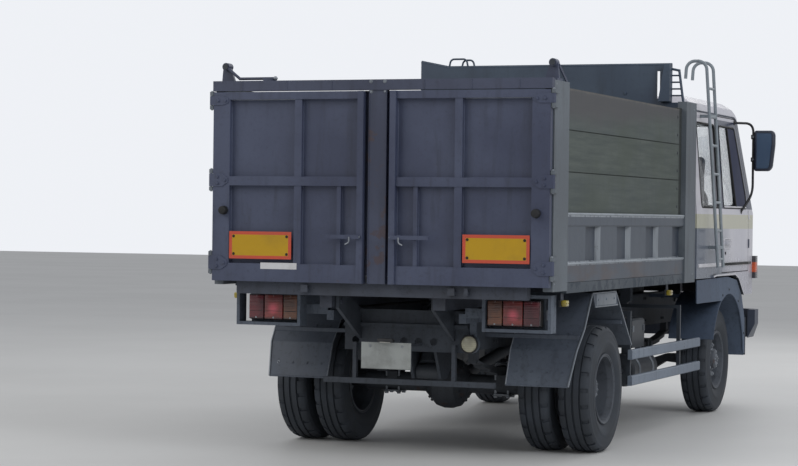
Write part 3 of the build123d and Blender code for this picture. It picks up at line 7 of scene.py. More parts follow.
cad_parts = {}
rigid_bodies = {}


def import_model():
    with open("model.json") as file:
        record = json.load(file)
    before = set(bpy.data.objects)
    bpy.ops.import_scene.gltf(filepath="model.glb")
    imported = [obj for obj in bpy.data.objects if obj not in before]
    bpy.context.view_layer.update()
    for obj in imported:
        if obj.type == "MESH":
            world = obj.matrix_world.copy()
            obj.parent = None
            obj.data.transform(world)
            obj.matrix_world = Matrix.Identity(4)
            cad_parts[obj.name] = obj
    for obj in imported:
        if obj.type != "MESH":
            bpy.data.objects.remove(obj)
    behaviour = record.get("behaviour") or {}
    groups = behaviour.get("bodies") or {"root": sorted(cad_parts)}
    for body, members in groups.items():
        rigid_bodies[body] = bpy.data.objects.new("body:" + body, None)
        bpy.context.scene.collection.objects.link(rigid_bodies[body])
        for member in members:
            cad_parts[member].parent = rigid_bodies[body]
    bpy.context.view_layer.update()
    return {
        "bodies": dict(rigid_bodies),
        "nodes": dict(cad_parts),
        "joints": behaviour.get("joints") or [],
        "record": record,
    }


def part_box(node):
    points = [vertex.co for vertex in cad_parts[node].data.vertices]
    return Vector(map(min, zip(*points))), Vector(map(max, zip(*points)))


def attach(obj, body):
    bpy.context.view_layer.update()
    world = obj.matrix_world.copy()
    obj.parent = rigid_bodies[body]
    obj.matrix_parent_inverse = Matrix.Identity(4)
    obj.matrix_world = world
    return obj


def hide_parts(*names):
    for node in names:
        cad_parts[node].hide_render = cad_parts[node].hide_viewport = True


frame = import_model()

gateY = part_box("gate_leaf_left")[1].y - 0.005  # y is counted forward from the gate, as in the CAD
both = (-1, 1)
sideName = {-1: "left", 1: "right"}


def place(x, y, z):
    return Vector((x, gateY + y, z))


# node trees

def srgb(r, g, b):
    def one(c):
        c = c / 255
        return c / 12.92 if c <= 0.04045 else ((c + 0.055) / 1.055) ** 2.4
    return (one(r), one(g), one(b), 1.0)


class Nodes:  # lays out the nodes of one tree
    def __init__(self, tree):
        self.tree = tree

    def add(self, kind, **values):
        made = self.tree.nodes.new(kind)
        for key, value in values.items():
            if hasattr(made, key):
                setattr(made, key, value)
            else:
                made.inputs[key.replace("_", " ")].default_value = value
        return made

    def feed(self, value, socket):
        if isinstance(value, bpy.types.NodeSocket):
            self.tree.links.new(value, socket)
        else:
            socket.default_value = value

    def math(self, operation, first, second=0.0):
        made = self.add("ShaderNodeMath", operation=operation)
        self.feed(first, made.inputs[0])
        self.feed(second, made.inputs[1])
        return made.outputs["Value"]

    def plus(self, first, second):
        return self.math("ADD", first, second)

    def minus(self, first, second):
        return self.math("SUBTRACT", first, second)

    def times(self, first, second):
        return self.math("MULTIPLY", first, second)

    def ramp(self, value, low, high, top=1.0):  # 0 up to low, top from high on
        made = self.add("ShaderNodeMapRange", interpolation_type="SMOOTHSTEP")
        made.inputs["From Min"].default_value = low
        made.inputs["From Max"].default_value = high
        made.inputs["To Max"].default_value = top
        self.feed(value, made.inputs["Value"])
        return made.outputs["Result"]

    def band(self, value, low, high, soft=0.003):  # 1 between two values, 0 outside
        return self.times(self.ramp(value, low - soft, low + soft), self.ramp(value, high + soft, high - soft))

    def mix(self, factor, first, second):
        made = self.add("ShaderNodeMix", data_type="RGBA")
        self.feed(factor, made.inputs["Factor"])
        for socket, value in (("A", first), ("B", second)):
            self.feed(value, [i for i in made.inputs if i.name == socket and i.type == "RGBA"][0])
        return [o for o in made.outputs if o.type == "RGBA"][0]

    def split(self, vector):
        made = self.add("ShaderNodeSeparateXYZ")
        self.feed(vector, made.inputs["Vector"])
        return made.outputs["X"], made.outputs["Y"], made.outputs["Z"]

    def vector(self, operation, first, second=None):
        made = self.add("ShaderNodeVectorMath", operation=operation)
        self.feed(first, made.inputs[0])
        if second is not None:
            self.feed(second, made.inputs[1])
        return made.outputs["Vector" if operation == "SUBTRACT" else "Value"]


class Finish(Nodes):  # a material whose patterns read object coordinates
    def __init__(self, name):
        self.material = bpy.data.materials.new(name)
        self.material.use_nodes = True
        super().__init__(self.material.node_tree)
        self.shader = [n for n in self.tree.nodes if n.type == "BSDF_PRINCIPLED"][0]
        texture = self.add("ShaderNodeTexCoord")
        self.coords, self.normal = texture.outputs["Object"], texture.outputs["Normal"]

    def noise(self, scale, detail=4.0, rough=0.55, stretch=None):
        coords = self.coords
        if stretch:
            mapping = self.add("ShaderNodeMapping", Scale=stretch)
            self.feed(coords, mapping.inputs["Vector"])
            coords = mapping.outputs["Vector"]
        made = self.add("ShaderNodeTexNoise", Scale=scale, Detail=detail, Roughness=rough)
        self.feed(coords, made.inputs["Vector"])
        return made.outputs["Fac"]

    def waves(self, direction, scale):
        made = self.add("ShaderNodeTexWave", wave_type="BANDS", bands_direction=direction, Scale=scale)
        self.feed(self.coords, made.inputs["Vector"])
        return made.outputs["Fac"]

    def bump(self, height, strength, distance):
        made = self.add("ShaderNodeBump", Strength=strength, Distance=distance)
        self.feed(height, made.inputs["Height"])
        self.feed(made.outputs["Normal"], self.shader.inputs["Normal"])

    def set(self, **values):  # colours, roughness and the like on the shader's own sockets
        for key, value in values.items():
            self.feed(value, self.shader.inputs[key.replace("_", " ")])


# materials

hair = 0.0004  # half width of a hard paint edge
steel = dict(
    patchScale=1.6, speckle=0.35, runs=0.4, rustBand=(0.0, 0.4), rustScale=7.0, rustRise=0.1, rustFrom=0.7,
    rustTop=0.7, rustDark=srgb(56, 42, 38), rustLight=srgb(94, 66, 52), rough=0.5, bump=0.25, metal=0.0,
)


def weatheredPaint(name, look):
    # old paint on steel: faded patches, dirt runs, rust that grows towards the foot
    look = dict(steel, **look)
    paint = Finish(name)
    x, y, z = paint.split(paint.coords)
    away = paint.math("ABSOLUTE", x)
    patches = paint.ramp(paint.noise(look["patchScale"], 5.0), 0.36, 0.66)
    colour = paint.mix(patches, look["paint"], look["faded"])
    speckle = paint.ramp(paint.noise(38.0, 6.0, 0.7), 0.5, 0.72, look["speckle"])
    colour = paint.mix(speckle, colour, look["dirt"])
    runs = paint.ramp(paint.noise(5.0, 4.0, 0.6, (3.0, 3.0, 0.35)), 0.5, 0.72, look["runs"])
    colour = paint.mix(runs, colour, look["dirt"])
    foot, head = look["rustBand"]
    near = paint.ramp(z, head, foot)  # 1 at the foot, 0 at the head
    if "rustHalf" in look:
        near = paint.times(near, paint.ramp(away, look["rustHalf"], look["rustHalf"] * 0.3))
    reach = paint.plus(paint.noise(look["rustScale"], 9.0, 0.68), paint.times(near, look["rustRise"]))
    rusty = paint.ramp(reach, look["rustFrom"], look["rustFrom"] + 0.06, look["rustTop"])
    colour = paint.mix(rusty, colour, paint.mix(paint.noise(24.0, 5.0), look["rustDark"], look["rustLight"]))
    if "innerX" in look:  # faces turned to the middle of the truck
        inner = paint.ramp(away, look["innerX"] + hair, look["innerX"] - hair)
        colour = paint.mix(inner, colour, look["innerTone"])
    if "outerX" in look:  # faces at the truck's sides
        outer = paint.ramp(away, look["outerX"] - hair, look["outerX"] + hair, 0.92)
        colour = paint.mix(outer, colour, look["outerTone"])
    rough = paint.plus(paint.plus(paint.times(patches, 0.14), look["rough"]), paint.times(rusty, 0.3))
    paint.set(Base_Color=colour, Roughness=rough, Metallic=look["metal"])
    fine = paint.plus(paint.times(paint.noise(60.0, 6.0), 0.4), paint.times(rusty, 0.7))
    paint.bump(fine, look["bump"], 0.0015)
    return paint.material


plastic = dict(dustScale=5.0, dustTop=0.5, rough=0.5, grain=240.0, bump=0.15)


def plainPlastic(name, look):
    # moulded plastic or rubber with fine grain and a little dust
    look = dict(plastic, **look)
    paint = Finish(name)
    dusty = paint.ramp(paint.noise(look["dustScale"], 6.0, 0.62), 0.42, 0.72, look["dustTop"])
    rough = paint.plus(paint.times(dusty, 0.25), look["rough"])
    paint.set(Base_Color=paint.mix(dusty, look["colour"], look["dust"]), Roughness=rough)
    paint.bump(paint.noise(look["grain"], 3.0), look["bump"], 0.0006)
    return paint.material


lampGlass = dict(ribs="X", ribScale=22.0)


def lens(name, look):
    # lamp lens with moulded ribs, a clear coat and a darker depth; a painted highlight where one is given
    look = dict(lampGlass, **look)
    paint = Finish(name)
    x, y, z = paint.split(paint.coords)
    ribs = paint.waves(look["ribs"], look["ribScale"])
    deep = paint.ramp(paint.noise(9.0, 3.0), 0.35, 0.7)
    colour = paint.mix(deep, look["colour"], look["deep"])
    colour = paint.mix(paint.ramp(ribs, 0.2, 0.9, 0.3), colour, look["deep"])
    # painted highlight: a bright spot painted into the lens colour round a given point
    if "glow" in look:
        highlightX, highlightZ, highlightReach = look["glow"]
        away = paint.add("ShaderNodeCombineXYZ")
        paint.feed(paint.minus(paint.math("ABSOLUTE", x), highlightX), away.inputs["X"])
        paint.feed(paint.minus(z, highlightZ), away.inputs["Y"])
        length = paint.vector("LENGTH", away.outputs["Vector"])
        colour = paint.mix(paint.ramp(length, highlightReach, 0.004, 0.8), colour, look["glowTone"])
    if "cell" in look:  # a dark rim above and below the lit height
        colour = paint.mix(paint.band(z, *look["cell"]), look["edge"], colour)
    paint.set(Base_Color=colour, Roughness=0.22, Coat_Weight=0.6, Coat_Roughness=0.08)
    paint.bump(ribs, 0.35, 0.002)
    return paint.material


def clearGlass(name, look):
    paint = Finish(name)
    film = paint.ramp(paint.noise(2.0, 2.0), 0.4, 0.75)
    colour = paint.mix(film, look["colour"], look["film"])
    if "vent" in look:  # darker ahead of the leaning vent bar
        x, y, z = paint.split(paint.coords)
        headZ, headY, lean = look["vent"]
        line = paint.plus(paint.times(paint.minus(headZ, z), lean), headY)
        ahead = paint.minus(paint.minus(y, gateY), line)
        colour = paint.mix(paint.ramp(ahead, -0.002, 0.002), colour, look["ventTone"])
    paint.set(Base_Color=colour, Roughness=0.0, Transmission_Weight=0.9, Alpha=0.3, IOR=1.45)
    return paint.material


def panelPaint(name, look):
    # pressed side panels: worn patches, pale chipped rails, painted shade on the recessed sheet between the
    # ribs and on each rib's forward-facing flank, a painted highlight on each rib's rear-facing flank, browned
    # lower rail
    paint = Finish(name)
    x, y, z = paint.split(paint.coords)
    # painted shade: the recessed sheet between the rib faces gets a darker colour than the faces
    out = paint.ramp(paint.math("ABSOLUTE", x), look["sheetX"] + 0.004, look["sheetX"] + 0.026)
    colour = paint.mix(out, look["sheet"], look["face"])
    patches = paint.ramp(paint.noise(3.0, 6.0), 0.35, 0.7, 0.55)
    colour = paint.mix(patches, colour, look["worn"])
    fromRib = paint.minus(paint.minus(y, gateY), look["start"])
    phase = paint.math("FLOORED_MODULO", fromRib, look["pitch"])
    field = paint.band(z, look["low"], look["high"])
    # painted highlight on the rear-facing flank of each rib (lit band, pale edge colour), painted shade on the
    # forward-facing flank (shaded band, recess colour)
    for (start, stop), strength, tone in ((look["lit"], 0.75, "edge"), (look["shaded"], 0.8, "sheet")):
        flank = paint.times(paint.band(phase, start, stop, 0.002), field)
        colour = paint.mix(paint.times(flank, strength), colour, look[tone])
    lowRail = paint.ramp(z, look["low"] + 0.004, look["low"] - 0.006)
    brown = paint.ramp(paint.noise(6.0, 7.0, 0.65, (1.0, 0.35, 1.0)), 0.42, 0.62, 0.6)
    colour = paint.mix(paint.times(brown, lowRail), colour, look["brown"])
    for edgeZ in (look["low"], look["top"]):
        bright = paint.band(z, edgeZ - 0.012, edgeZ + 0.012)
        chips = paint.ramp(paint.noise(22.0, 5.0), 0.34, 0.5, 0.85)
        colour = paint.mix(paint.times(bright, chips), colour, look["edge"])
    runs = paint.ramp(paint.noise(7.0, 5.0, 0.6, (3.0, 3.0, 0.3)), 0.5, 0.75, 0.45)
    colour = paint.mix(runs, colour, look["dirt"])
    spots = paint.ramp(paint.noise(30.0, 7.0, 0.7), 0.62, 0.7, 0.5)
    colour = paint.mix(spots, colour, look["brown"])
    paint.set(Base_Color=colour, Roughness=paint.plus(paint.times(patches, 0.2), 0.42))
    paint.bump(paint.noise(55.0, 6.0), 0.22, 0.0015)
    return paint.material


def cabPaint(name, look):
    # white cab: cream belt band, dark window frames, painted shade on the rear corner and on faces turned down
    # low on the cab, duller skirt, dark trim inside
    paint = Finish(name)
    x, y, z = paint.split(paint.coords)
    side, y = paint.math("ABSOLUTE", x), paint.minus(y, gateY)
    colour = paint.mix(paint.ramp(paint.noise(1.4), 0.35, 0.7), look["white"], look["shade"])
    bandFoot, bandHead = look["band"]
    colour = paint.mix(paint.band(z, bandFoot, bandHead, 0.0015), colour, look["cream"])
    colour = paint.mix(paint.ramp(z, look["skirt"] + 0.003, look["skirt"] - 0.003), colour, look["skirtTone"])
    runs = paint.ramp(paint.noise(9.0, 4.0, 0.6, (3.0, 3.0, 0.25)), 0.56, 0.8, 0.16)
    colour = paint.mix(runs, colour, look["dirt"])
    low = paint.times(paint.ramp(z, 1.4, 0.95), 0.14)
    splash = paint.ramp(paint.plus(paint.noise(9.0, 8.0, 0.7), low), 0.62, 0.85, 0.5)
    colour = paint.mix(splash, colour, look["dirt"])
    # painted shade: the side grows darker towards the cab's rear corner, below the belt band
    uneven = paint.times(paint.minus(paint.noise(2.2, 5.0), 0.5), 0.5)
    corner = paint.plus(paint.ramp(y, *look["grimeRun"]), uneven)
    corner = paint.times(corner, paint.ramp(z, bandFoot + 0.012, bandFoot - 0.006))
    colour = paint.mix(paint.ramp(corner, 0.0, 0.5, 0.85), colour, look["grime"])
    frame = paint.band(z, look["frameFoot"], look["frameHead"], 0.002)
    frame = paint.times(frame, paint.band(y, look["frameStart"], look["frameEnd"], 0.002))
    frame = paint.times(frame, paint.ramp(side, 0.84, 0.85))
    colour = paint.mix(frame, colour, look["frameTone"])
    facing = paint.vector(
        "DOT_PRODUCT", paint.vector("SUBTRACT", paint.coords, place(*look["middle"])), paint.normal,
    )
    inside = paint.ramp(facing, 0.0, -0.02)
    trim = paint.mix(paint.ramp(paint.noise(4.0), 0.3, 0.7), look["trim"], look["trimWorn"])
    trim = paint.mix(paint.ramp(z, 1.13, 1.1), trim, look["mat"])
    trim = paint.mix(paint.ramp(z, 2.26, 2.3), trim, look["lining"])
    colour = paint.mix(inside, colour, trim)
    # painted shade on the faces turned down, low on the cab
    up = paint.split(paint.normal)[2]
    under = paint.times(paint.ramp(up, -0.35, -0.6), paint.ramp(z, 1.50, 1.45))
    colour = paint.mix(under, colour, look["under"])
    rough = paint.plus(paint.plus(paint.times(splash, 0.4), 0.26), paint.times(inside, 0.4))
    paint.set(Base_Color=colour, Roughness=rough, Coat_Weight=0.3, Coat_Roughness=0.12)
    paint.bump(paint.noise(90.0), 0.06, 0.0008)
    return paint.material


def boardWood(name, look):
    # weathered boards: grain along Y, a tone of its own for each board, brown and pale near the top
    paint = Finish(name)
    x, y, z = paint.split(paint.coords)
    y, up = paint.minus(y, gateY), paint.minus(z, look["foot"])
    tone = paint.add("ShaderNodeTexWhiteNoise", noise_dimensions="1D")
    paint.feed(paint.math("FLOOR", paint.math("DIVIDE", up, look["pitch"])), tone.inputs["W"])
    grain = paint.noise(26.0, 8.0, 0.65, (1.0, 0.06, 1.0))
    colour = paint.mix(paint.ramp(grain, 0.3, 0.72), look["dark"], look["light"])
    colour = paint.mix(paint.ramp(tone.outputs["Value"], 0.0, 1.0, 0.35), colour, look["grey"])
    colour = paint.mix(paint.ramp(paint.noise(2.2, 7.0, 0.65), 0.42, 0.66, 0.6), colour, look["stain"])
    weather = paint.plus(z, paint.times(paint.noise(1.6, 5.0, 0.65, (1.0, 0.8, 1.0)), 0.22))
    weather = paint.minus(weather, paint.times(paint.ramp(y, 0.9, 3.0), 0.10))
    colour = paint.mix(paint.ramp(weather, 2.13, 2.27, 0.85), colour, look["brown"])
    rim = paint.plus(z, paint.times(paint.noise(7.0, 4.0, 0.6), 0.03))
    colour = paint.mix(paint.ramp(rim, 2.268, 2.284, 0.7), colour, look["rim"])
    streaks = paint.ramp(paint.noise(8.0, 5.0, 0.6, (1.0, 2.4, 0.25)), 0.5, 0.78, 0.4)
    colour = paint.mix(streaks, colour, look["dark"])
    batten = paint.ramp(y, look["batten"] - 0.002, look["batten"] + 0.002, 0.8)
    colour = paint.mix(batten, colour, look["gap"])
    seam = paint.math("PINGPONG", paint.minus(z, look["foot"] - 0.002), look["pitch"] / 2)
    colour = paint.mix(paint.ramp(seam, 0.008, 0.002, 0.42), colour, look["gap"])
    paint.set(Base_Color=colour, Roughness=0.85)
    paint.bump(grain, 0.3, 0.002)
    return paint.material


def cloth(name, look):
    # woven seat cloth with a fine check weave and a sheen
    paint = Finish(name)
    weave = paint.waves("X", look["weave"])
    for direction in ("Y", "Z"):
        weave = paint.plus(weave, paint.waves(direction, look["weave"]))
    colour = paint.mix(paint.ramp(weave, 0.6, 2.2), look["dark"], look["light"])
    paint.set(Base_Color=colour, Roughness=0.9, Sheen_Weight=0.3)
    paint.bump(weave, 0.4, 0.001)
    return paint.material


gateBlue = dict(
    paint=srgb(58, 64, 86), faded=srgb(71, 78, 100), dirt=srgb(44, 48, 62), rustBand=(1.08, 1.22),
    rustRise=0.06, rustTop=0.5, rough=0.42, runs=0.45,
)
headerBlue = dict(
    gateBlue, paint=srgb(56, 61, 80), faded=srgb(67, 73, 93), rustBand=(1.08, 2.9), rustHalf=0.3,
    rustRise=0.1, rustFrom=0.62,
)
postGrey = dict(
    paint=srgb(84, 91, 98), faded=srgb(100, 107, 114), dirt=srgb(66, 70, 74), rustBand=(1.03, 1.3),
    rustRise=0.08, rustFrom=0.68, runs=0.45,
)
slateBlue = dict(
    paint=srgb(58, 71, 88), faded=srgb(72, 86, 102), dirt=srgb(46, 55, 66), rustBand=(1.1, 1.6), rough=0.45,
)
bedSteel = dict(
    paint=srgb(74, 76, 80), faded=srgb(104, 104, 106), dirt=srgb(50, 47, 44), rustBand=(1.0, 1.3),
    rustRise=0.12, rustFrom=0.6, rough=0.4, metal=0.3, speckle=0.6, outerX=0.985, outerTone=srgb(62, 72, 82),
)
frameDark = dict(
    paint=srgb(52, 57, 65), faded=srgb(68, 74, 83), dirt=srgb(36, 40, 46), rustBand=(0.2, 0.9),
    rustRise=0.05, rustFrom=0.68, rustTop=0.5, rough=0.6, speckle=0.6,
)
lipDark = dict(frameDark, paint=srgb(54, 58, 68), faded=srgb(68, 73, 85))
lampFrameGrey = dict(frameDark, paint=srgb(78, 86, 98), faded=srgb(96, 104, 116), rustFrom=0.72)
castDark = dict(frameDark, paint=srgb(44, 48, 55), faded=srgb(60, 64, 70), rustRise=0.08, rustFrom=0.66)
tankDark = dict(frameDark, paint=srgb(52, 57, 64), faded=srgb(66, 71, 78), rustFrom=0.7, rough=0.42)
flareSlate = dict(
    frameDark, paint=srgb(71, 84, 104), faded=srgb(86, 99, 118), dirt=srgb(52, 59, 70), rustFrom=0.74,
)
guardGrey = dict(
    paint=srgb(104, 115, 130), faded=srgb(122, 132, 146), dirt=srgb(74, 82, 92), rustBand=(0.3, 0.6),
    rustFrom=0.74, rough=0.45, innerX=0.9706, innerTone=srgb(52, 58, 66),
)
mudGrey = dict(
    paint=srgb(74, 81, 93), faded=srgb(90, 98, 110), dirt=srgb(50, 55, 62), rustBand=(0.4, 0.7),
    rustRise=0.06, rough=0.55, speckle=0.6,
)
rimGrey = dict(
    paint=srgb(66, 71, 79), faded=srgb(86, 91, 99), dirt=srgb(42, 44, 48), rustBand=(0.2, 0.8),
    rustRise=0.04, rustFrom=0.68, rustTop=0.55, speckle=0.5,
)
bumperGrey = dict(
    paint=srgb(58, 65, 80), faded=srgb(76, 83, 98), dirt=srgb(42, 46, 54), rustFrom=0.74, rough=0.38,
)
tubeGrey = dict(paint=srgb(128, 137, 144), faded=srgb(156, 164, 170), dirt=srgb(88, 92, 96), rough=0.4)
hoistSteel = dict(
    paint=srgb(120, 122, 126), faded=srgb(150, 152, 156), dirt=srgb(60, 58, 56), rustFrom=0.76,
    rough=0.25, metal=0.9,
)
valanceGrey = dict(
    paint=srgb(104, 114, 124), faded=srgb(126, 136, 146), dirt=srgb(76, 84, 92), rustFrom=0.76, rough=0.45,
)
bareSteel = dict(
    paint=srgb(150, 154, 158), faded=srgb(178, 182, 186), dirt=srgb(84, 84, 84), rustFrom=0.72,
    rough=0.3, metal=0.8,
)
beadGrey = dict(
    paint=srgb(132, 140, 148), faded=srgb(150, 157, 164), dirt=srgb(104, 110, 116), rustFrom=0.8, rough=0.45,
)
wornEdge = dict(
    paint=srgb(120, 126, 134), faded=srgb(150, 155, 162), dirt=srgb(80, 84, 90), rustFrom=0.72,
    rough=0.4, metal=0.4,
)
# the darker recess colour is painted shade; the lit and shaded bands are a painted highlight and painted shade
# on the rib flanks
sideSheet = dict(
    sheetX=1.057, start=0.305, pitch=0.69625, lit=(0.004, 0.03), shaded=(0.4073, 0.4874),
    low=1.217, high=1.44, top=1.512, sheet=srgb(44, 52, 66), face=srgb(70, 78, 89), worn=srgb(83, 90, 99),
    edge=srgb(156, 162, 168), brown=srgb(84, 72, 70), dirt=srgb(56, 61, 68),
)
# the slate rear-corner colour and the dark colour for faces turned down are painted shade
cabWhite = dict(
    white=srgb(210, 208, 215), shade=srgb(198, 197, 207), band=(1.423, 1.534), cream=srgb(192, 190, 170),
    skirt=1.14, skirtTone=srgb(184, 183, 193), dirt=srgb(128, 124, 122), grime=srgb(80, 92, 108),
    grimeRun=(4.85, 3.80), under=srgb(50, 54, 61), frameFoot=1.578, frameHead=2.262, frameStart=4.362,
    frameEnd=5.90, frameTone=srgb(50, 58, 82), middle=(0, 4.62, 1.8), trim=srgb(74, 78, 88),
    trimWorn=srgb(88, 92, 100), mat=srgb(36, 37, 40), lining=srgb(120, 122, 126),
)
planks = dict(
    foot=1.518, pitch=0.2527, dark=srgb(66, 74, 72), light=srgb(86, 93, 88), grey=srgb(80, 87, 90),
    stain=srgb(70, 78, 70), gap=srgb(40, 44, 44), brown=srgb(78, 77, 80), rim=srgb(100, 98, 94), batten=2.98,
)
rubber = dict(colour=srgb(45, 50, 57), dust=srgb(67, 73, 82), rough=0.7, grain=120.0, bump=0.2, dustTop=0.55)
yellowSheet = dict(colour=srgb(184, 144, 8), dust=srgb(158, 124, 20), rough=0.35, grain=420.0, bump=0.4)
orangeSheet = dict(colour=srgb(192, 76, 52), dust=srgb(172, 78, 58), rough=0.4, grain=420.0)
# mirror glass: a fixed blue-grey colour painted in as its reflection
mirrorReflection = dict(
    colour=srgb(74, 92, 116), dust=srgb(86, 104, 126), rough=0.06, bump=0.0, dustTop=0.4, dustScale=3.0,
)
tailLens = dict(ribs="Z", ribScale=30.0, cell=(0.848, 0.984))
redLens = dict(tailLens, colour=srgb(112, 40, 48), deep=srgb(70, 28, 36), edge=srgb(58, 34, 40))
# the middle cell's lens carries a painted highlight, a bright spot painted into its colour
middleLens = dict(
    tailLens, colour=srgb(150, 62, 58), deep=srgb(98, 44, 44), glow=(0.79, 0.905, 0.05),
    glowTone=srgb(226, 96, 112), edge=srgb(84, 44, 44),
)
brownLens = dict(tailLens, colour=srgb(122, 76, 52), deep=srgb(82, 52, 42), edge=srgb(70, 48, 42))
orangeLens = dict(
    ribs="Z", cell=(1.073, 1.154), colour=srgb(214, 92, 44), deep=srgb(164, 62, 32), edge=srgb(54, 52, 58),
)
glass = dict(colour=(0.66, 0.72, 0.75, 1), film=(0.58, 0.64, 0.68, 1))
ventedGlass = dict(glass, vent=(2.21, 4.78, 0.245), ventTone=(0.05, 0.065, 0.12, 1))

finishes = {
    "gatePaint": (weatheredPaint, gateBlue),
    "headerPaint": (weatheredPaint, headerBlue),
    "postPaint": (weatheredPaint, postGrey),
    "panelPaint": (panelPaint, sideSheet),
    "headboardPaint": (weatheredPaint, slateBlue),
    "bedPaint": (weatheredPaint, bedSteel),
    "framePaint": (weatheredPaint, frameDark),
    "castIron": (weatheredPaint, castDark),
    "tankPaint": (weatheredPaint, tankDark),
    "guardPaint": (weatheredPaint, guardGrey),
    "mudPaint": (weatheredPaint, mudGrey),
    "rimPaint": (weatheredPaint, rimGrey),
    "bumperPaint": (weatheredPaint, bumperGrey),
    "tubePaint": (weatheredPaint, tubeGrey),
    "oiledSteel": (weatheredPaint, hoistSteel),
    "valancePaint": (weatheredPaint, valanceGrey),
    "lipPaint": (weatheredPaint, lipDark),
    "lampFramePaint": (weatheredPaint, lampFrameGrey),
    "flarePaint": (weatheredPaint, flareSlate),
    "brightSteel": (weatheredPaint, bareSteel),
    "beadPaint": (weatheredPaint, beadGrey),
    "edgeWear": (weatheredPaint, wornEdge),
    "cabPaint": (cabPaint, cabWhite),
    "boards": (boardWood, planks),
    "tyreRubber": (plainPlastic, rubber),
    "blackPlastic": (plainPlastic, dict(colour=srgb(30, 31, 34), dust=srgb(58, 58, 60), rough=0.55)),
    "sealRubber": (plainPlastic, dict(colour=srgb(20, 21, 23), dust=srgb(44, 45, 48), rough=0.65)),
    "mirrorShell": (plainPlastic, dict(colour=srgb(40, 46, 60), dust=srgb(60, 67, 84), rough=0.4)),
    "mirrorGlass": (plainPlastic, mirrorReflection),
    "ventDark": (plainPlastic, dict(colour=srgb(44, 50, 76), dust=srgb(54, 60, 86), rough=0.7, bump=0.0)),
    "reflectorYellow": (plainPlastic, yellowSheet),
    "reflectorOrange": (plainPlastic, orangeSheet),
    "blankWhite": (plainPlastic, dict(
        colour=srgb(204, 204, 206), dust=srgb(150, 148, 146), rough=0.4, dustTop=0.6,
    )),
    "plateGrey": (plainPlastic, dict(
        colour=srgb(150, 154, 152), dust=srgb(108, 110, 108), rough=0.45, dustTop=0.7,
    )),
    "trimCard": (plainPlastic, dict(
        colour=srgb(70, 74, 84), dust=srgb(90, 93, 100), rough=0.6, grain=180.0, bump=0.3,
    )),
    "trimWhite": (plainPlastic, dict(colour=srgb(214, 213, 218), dust=srgb(176, 174, 176), rough=0.35)),
    "dripGrey": (plainPlastic, dict(colour=srgb(70, 76, 90), dust=srgb(96, 100, 110), rough=0.45)),
    "lensRed": (lens, redLens),
    "lensMiddle": (lens, middleLens),
    "lensBrown": (lens, brownLens),
    "lensAmber": (lens, dict(colour=srgb(176, 158, 52), deep=srgb(128, 112, 40), ribScale=40.0)),
    "lensOrange": (lens, orangeLens),
    "lensClear": (lens, dict(colour=srgb(196, 194, 186), deep=srgb(140, 138, 132))),
    "lensCream": (lens, dict(colour=srgb(190, 186, 160), deep=srgb(150, 146, 128), ribs="Z", ribScale=26.0)),
    "windowGlass": (clearGlass, glass),
    "doorGlass": (clearGlass, ventedGlass),
    "seatCloth": (cloth, dict(dark=srgb(40, 42, 48), light=srgb(70, 72, 80), weave=110.0)),
}
paints = {name: make(name, look) for name, (make, look) in finishes.items()}

nodesByPaint = {
    "gatePaint": ["gate_leaf_left", "gate_leaf_right"],
    "headerPaint": ["rear_header"],
    "postPaint": ["bed_posts"],
    "panelPaint": ["side_panels"],
    "headboardPaint": ["headboard"],
    "bedPaint": ["bed_floor"],
    "lipPaint": ["bed_frame"],
    "framePaint": ["frame_rails", "cross_members", "cab_mounts", "steps", "rear_plate"],
    "lampFramePaint": ["lamp_frames"],
    "castIron": [
        "engine", "propeller_shaft", "rear_axle", "leaf_springs", "front_axle", "knuckle_left", "knuckle_right",
    ],
    "tankPaint": ["tanks", "muffler", "hoist_barrel"],
    "oiledSteel": ["hoist_sleeve", "hoist_rod"],
    "bumperPaint": ["front_bumper"],
    "guardPaint": ["side_guards"],
    "mudPaint": ["rear_mudguards"],
    "flarePaint": ["front_guards"],
    "rimPaint": ["front_rim_left", "front_rim_right", "rear_rims_left", "rear_rims_right"],
    "tyreRubber": ["front_tyre_left", "front_tyre_right", "rear_tyres_left", "rear_tyres_right"],
    "cabPaint": ["cab_shell", "door_left", "door_right"],
    "windowGlass": ["cab_glass"],
    "doorGlass": ["door_glass_left", "door_glass_right"],
    "blackPlastic": ["cab_grille", "dashboard"],
    "tubePaint": ["hook_ladder"],
    "mirrorShell": ["mirror_left", "mirror_right"],
    "boards": ["side_boards"],
    "lensOrange": ["turn_lamps"],
    "lensAmber": ["marker_lamps"],
    "lensClear": ["head_lamps"],
    "lensRed": ["rear_lamps"],
    "reflectorYellow": ["gate_plates_left", "gate_plates_right"],
    "seatCloth": ["seats"],
}
for paintName, nodeNames in nodesByPaint.items():
    for nodeName in nodeNames:
        mesh = frame["nodes"][nodeName].data
        mesh.materials.clear()
        mesh.materials.append(paints[paintName])
print("materials done")


# mesh helpers

across, along, upward = Vector((1, 0, 0)), Vector((0, 1, 0)), Vector((0, 0, 1))
backward = (0, -1, 0)


def sided(side, x, y, z):  # x is counted outwards from the middle of the truck
    return place(side * x, y, z)


def ring(centre, radius, count, first, second, turn=0.0):  # points round a circle, from first towards second
    angles = [turn + 2 * pi * step / count for step in range(count)]
    return [centre + (first * cos(angle) + second * sin(angle)) * radius for angle in angles]


def softened(run, reach, steps=4, closed=False):  # the run with its corners rounded
    points = [Vector(point) for point in run]
    out = []
    for index, point in enumerate(points):
        if not closed and index in (0, len(points) - 1):
            out.append(point)
            continue
        back = points[index - 1] - point
        on = points[(index + 1) % len(points)] - point
        take = min(reach, back.length * 0.45, on.length * 0.45)
        start, stop = point + back.normalized() * take, point + on.normalized() * take
        for step in range(steps + 1):
            t = step / steps
            out.append(start * (1 - t) ** 2 + point * 2 * t * (1 - t) + stop * t * t)
    return out


